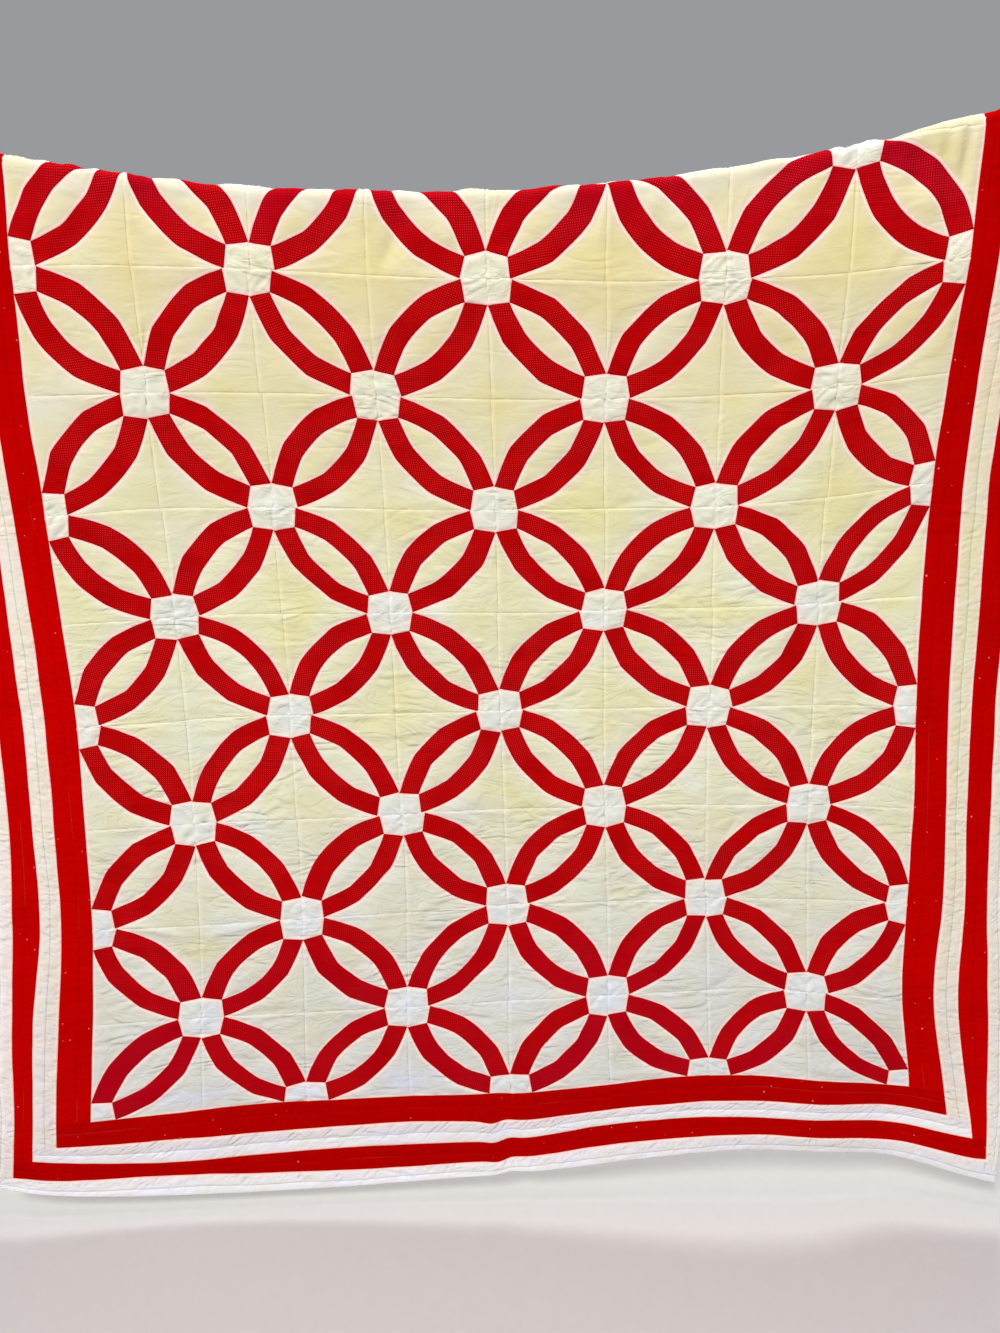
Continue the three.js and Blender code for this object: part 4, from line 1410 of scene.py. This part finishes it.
def plain_red_material(colours, sizes, side):
    """Plain red cotton, drawn darker on each side by painted shade that changes down the quilt, with painted
    shade at its seams and along its quilting line, stitches showing in places, and a few specks of lint."""
    def colour_of(nodes, vector):
        # Painted shade: each side's red drawn darker by its own shares from head to foot.
        painted_side_shade = nodes.down(SHADE_PLACES, [(share,) * 3 for share in RED_PAINTED_SHADE[side]])
        shade = nodes.times(nodes.group(blotches(), vector, 9.0), 0.30)
        colour = nodes.tint(1.0, nodes.mix(shade, colours.plain_red, (0.44, 0.0, 0.0)), painted_side_shade)
        specks = nodes.between(nodes.noise(vector, 150.0, 0.0), 0.845, 0.87)
        colour = nodes.mix(nodes.times(specks, 0.8), colour, (0.85, 0.30, 0.27))
        # Painted shade along the quilting line's ditch.
        colour = nodes.mix(beside(nodes, vector, "near_line", 0.0020, 0.30), colour, (0.36, 0.0, 0.0))
        shown = nodes.between(nodes.noise(vector, 5.0, 0.0), 0.56, 0.66, 0.0, 0.2)
        colour = nodes.mix(nodes.times(quilted(nodes, sizes), shown), colour, (0.80, 0.13, 0.10))
        # Painted shade where the red turns down into its seams.
        return nodes.mix(beside(nodes, vector, "near_seam", 0.0016, 0.6), colour, colours.seam_shade_red)
    return cotton(f"plain red cotton of the {side} border", colour_of, sizes, strip_creases(1.0, 0.7))


def backing_material(colours, sizes):
    """Plain unbleached cotton, unevenly washed, drawn in along the quilting, with painted shade along those
    lines.
    """
    def colour_of(nodes, vector):
        wash = nodes.times(nodes.group(blotches(), vector, 5.0), 0.6)
        # Painted shade along the drawn-in quilting lines.
        lines = nodes.times(nodes.group(quilting_lines(), vector), 0.2)
        return nodes.tint(lines, nodes.mix(wash, colours.backing, (0.72, 0.69, 0.58)), (0.86, 0.85, 0.80))

    def creases_of(nodes, vector):
        lines = nodes.times(nodes.group(quilting_lines(), vector), -1.7)
        return nodes.plus(lines, nodes.group(washed_creases(), vector, 1.1))
    return cotton("backing cotton", colour_of, sizes, creases_of)


def floor_material(colours):
    """Pale floor with a faint grain."""
    material = bpy.data.materials.new("pale floor")
    material.use_nodes = True
    nodes = Nodes(material.node_tree)
    shader = material.node_tree.nodes["Principled BSDF"]
    place = nodes.add("ShaderNodeTexCoord").outputs["Object"]
    grain = nodes.times(nodes.noise(place, 60.0, 4.0, 0.6), 0.3)
    nodes.feed(shader.inputs["Base Color"], nodes.mix(grain, colours.floor, (0.48, 0.44, 0.40)))
    shader.inputs["Roughness"].default_value = 0.9
    return material


# ---------------------------------------------------------------------------------------------- operators


def finish_of(context):
    """The quilt's colours and sizes."""
    return context.scene.quilt_colours, context.scene.quilt_sizes


def make_rows(context, kind, parts_of, material_of):
    """Makes one piece for every two rows of blocks."""
    colours, sizes = finish_of(context)
    for pair in range(PAIRS):
        name = f"{kind}_rows_{2 * pair + 1}_{2 * pair + 2}"
        finish = material_of(colours, sizes)
        sheet_mesh(name, parts_of(pair, sizes), finish, ["pieced_middle"])
    return {"FINISHED"}


class QUILT_OT_arcs(bpy.types.Operator):
    """Pieces the red print arcs of the rings, two rows of blocks to a piece"""

    bl_idname = "quilt.arcs"
    bl_label = "Red arcs"

    def execute(self, context):
        return make_rows(context, "arcs", arc_parts, red_print_material)


class QUILT_OT_cream(bpy.types.Operator):
    """Pieces the cream cotton between and inside the rings, two rows of blocks to a piece"""

    bl_idname = "quilt.cream"
    bl_label = "Cream patches"

    def execute(self, context):
        return make_rows(context, "cream", cream_parts, cream_material)


class QUILT_OT_squares(bpy.types.Operator):
    """Pieces the white squares where the rings cross, two rows of blocks to a piece"""

    bl_idname = "quilt.squares"
    bl_label = "White squares"

    def execute(self, context):
        return make_rows(context, "squares", square_parts, square_material)


STRIP_FINISHES = {
    "inner_red": (plain_red_material, "red_cotton"),
    "cream": (cream_border_material, "cream_cotton"),
    "outer_red": (plain_red_material, "red_cotton"),
    "outer_white": (white_border_material, "white_cotton"),
}


class QUILT_OT_borders(bpy.types.Operator):
    """Sews on the sixteen border strips"""

    bl_idname = "quilt.borders"
    bl_label = "Border strips"

    def execute(self, context):
        colours, sizes = finish_of(context)
        for number, border in enumerate(BORDERS):
            material_of, slot = STRIP_FINISHES[border]
            for side in SIDES:
                sheet_mesh(
                    f"{border}_{side}_strip", [strip_part(side, number, sizes)],
                    material_of(colours, sizes, side), [f"{border}_{side}"])
        return {"FINISHED"}


class QUILT_OT_backing(bpy.types.Operator):
    bl_idname = "quilt.backing"
    bl_label = "Backing"

    def execute(self, context):
        finish = backing_material(*finish_of(context))
        backing = sheet_mesh("backing", [backing_part()], finish, ["pieced_middle"])
        return {"FINISHED"}


# Each lamp's name, place, the point that it faces, size, power and colour.
LAMPS = (
    ("soft key", (-3.6, -7.4, 7.0), (0, 0, -0.9), 3.4, 930, (1.0, 0.99, 0.975)),
    ("soft fill", (2.4, -3.2, -0.4), (0, 0, -0.9), 2.6, 9, (1.0, 0.98, 0.97)),
    ("cool top light", (0.2, 0.0, 2.3), (0, 0, 0), 1.6, 52, (0.80, 0.88, 1.0)),
    ("soft back light", (2.2, 5.6, 3.4), (0, 0, -0.9), 2.6, 330, (1.0, 0.99, 0.975)),
)
STUDIO_COLOUR = (0.93, 0.95, 1.0, 1)
STUDIO_STRENGTH = 0.34
FLOOR_REACH = 12.0

# The camera looks along +Y and a little down.
CAMERA_PLACE = (-0.003, -1.687, -0.385)
CAMERA_DOWN = 12.5
CAMERA_LENS = 27.0
CAMERA_SENSOR = 36.0


def area_lamp(name, place, aim, size, power, colour):
    """A large soft lamp at place, turned to face aim."""
    lamp = bpy.data.lights.new(name, "AREA")
    lamp.shape, lamp.size, lamp.energy, lamp.color = "DISK", size, power, colour
    way = np.array(aim) - np.array(place)
    tilt, heading = math.acos(-way[2] / np.linalg.norm(way)), math.atan2(way[0], -way[1]) + math.pi
    put_in_scene(name, lamp, place, (tilt, 0, heading))


class QUILT_OT_stage(bpy.types.Operator):
    """Sets up the pale floor, the soft light and the camera"""

    bl_idname = "quilt.stage"
    bl_label = "Stage"

    def execute(self, context):
        scene = context.scene
        colours, sizes = finish_of(context)
        reach, low = FLOOR_REACH, cad_box[0][2] - sizes.floor_drop
        mesh = bpy.data.meshes.new("floor")
        corners = [(x * reach, y * reach, low) for x, y in ((-1, -1), (1, -1), (1, 1), (-1, 1))]
        mesh.from_pydata(corners, [], [(0, 1, 2, 3)])
        mesh.materials.append(floor_material(colours))
        floor = put_in_scene("floor", mesh)
        world = bpy.data.worlds.new("studio")
        world.use_nodes = True
        background = world.node_tree.nodes["Background"]
        background.inputs["Color"].default_value = STUDIO_COLOUR
        background.inputs["Strength"].default_value = STUDIO_STRENGTH
        scene.world = world
        for lamp in LAMPS:
            area_lamp(*lamp)
        camera = bpy.data.cameras.new("camera")
        camera.lens, camera.sensor_width = CAMERA_LENS, CAMERA_SENSOR
        scene.camera = put_in_scene("camera", camera, CAMERA_PLACE, (math.radians(90 - CAMERA_DOWN), 0, 0))
        scene.view_settings.view_transform = "Standard"
        return {"FINISHED"}


class QUILT_PT_panel(bpy.types.Panel):
    """Lists the quilt's pieces and the stage"""

    bl_idname = "QUILT_PT_panel"
    bl_label = "Double wedding ring quilt"
    bl_space_type = "VIEW_3D"
    bl_region_type = "UI"
    bl_category = "Quilt"

    def draw(self, context):
        for step in STEPS:
            self.layout.operator(step.bl_idname)
        for group in (context.scene.quilt_sizes, context.scene.quilt_colours):
            box = self.layout.box()
            for name in group.bl_rna.properties.keys():
                if name not in ("rna_type", "name"):
                    box.prop(group, name)


STEPS = (QUILT_OT_stage, QUILT_OT_arcs, QUILT_OT_cream, QUILT_OT_squares, QUILT_OT_borders, QUILT_OT_backing)
CLASSES = (QuiltSizes, QuiltColours, *STEPS, QUILT_PT_panel)


def register():
    for each in CLASSES:
        bpy.utils.register_class(each)
    bpy.types.Scene.quilt_sizes = bpy.props.PointerProperty(type=QuiltSizes)
    bpy.types.Scene.quilt_colours = bpy.props.PointerProperty(type=QuiltColours)


def unregister():
    del bpy.types.Scene.quilt_sizes
    del bpy.types.Scene.quilt_colours
    for each in reversed(CLASSES):
        bpy.utils.unregister_class(each)


def main():
    register()
    for step in STEPS:
        group, name = step.bl_idname.split(".")
        getattr(getattr(bpy.ops, group), name)()


if __name__ == "__main__":
    main()
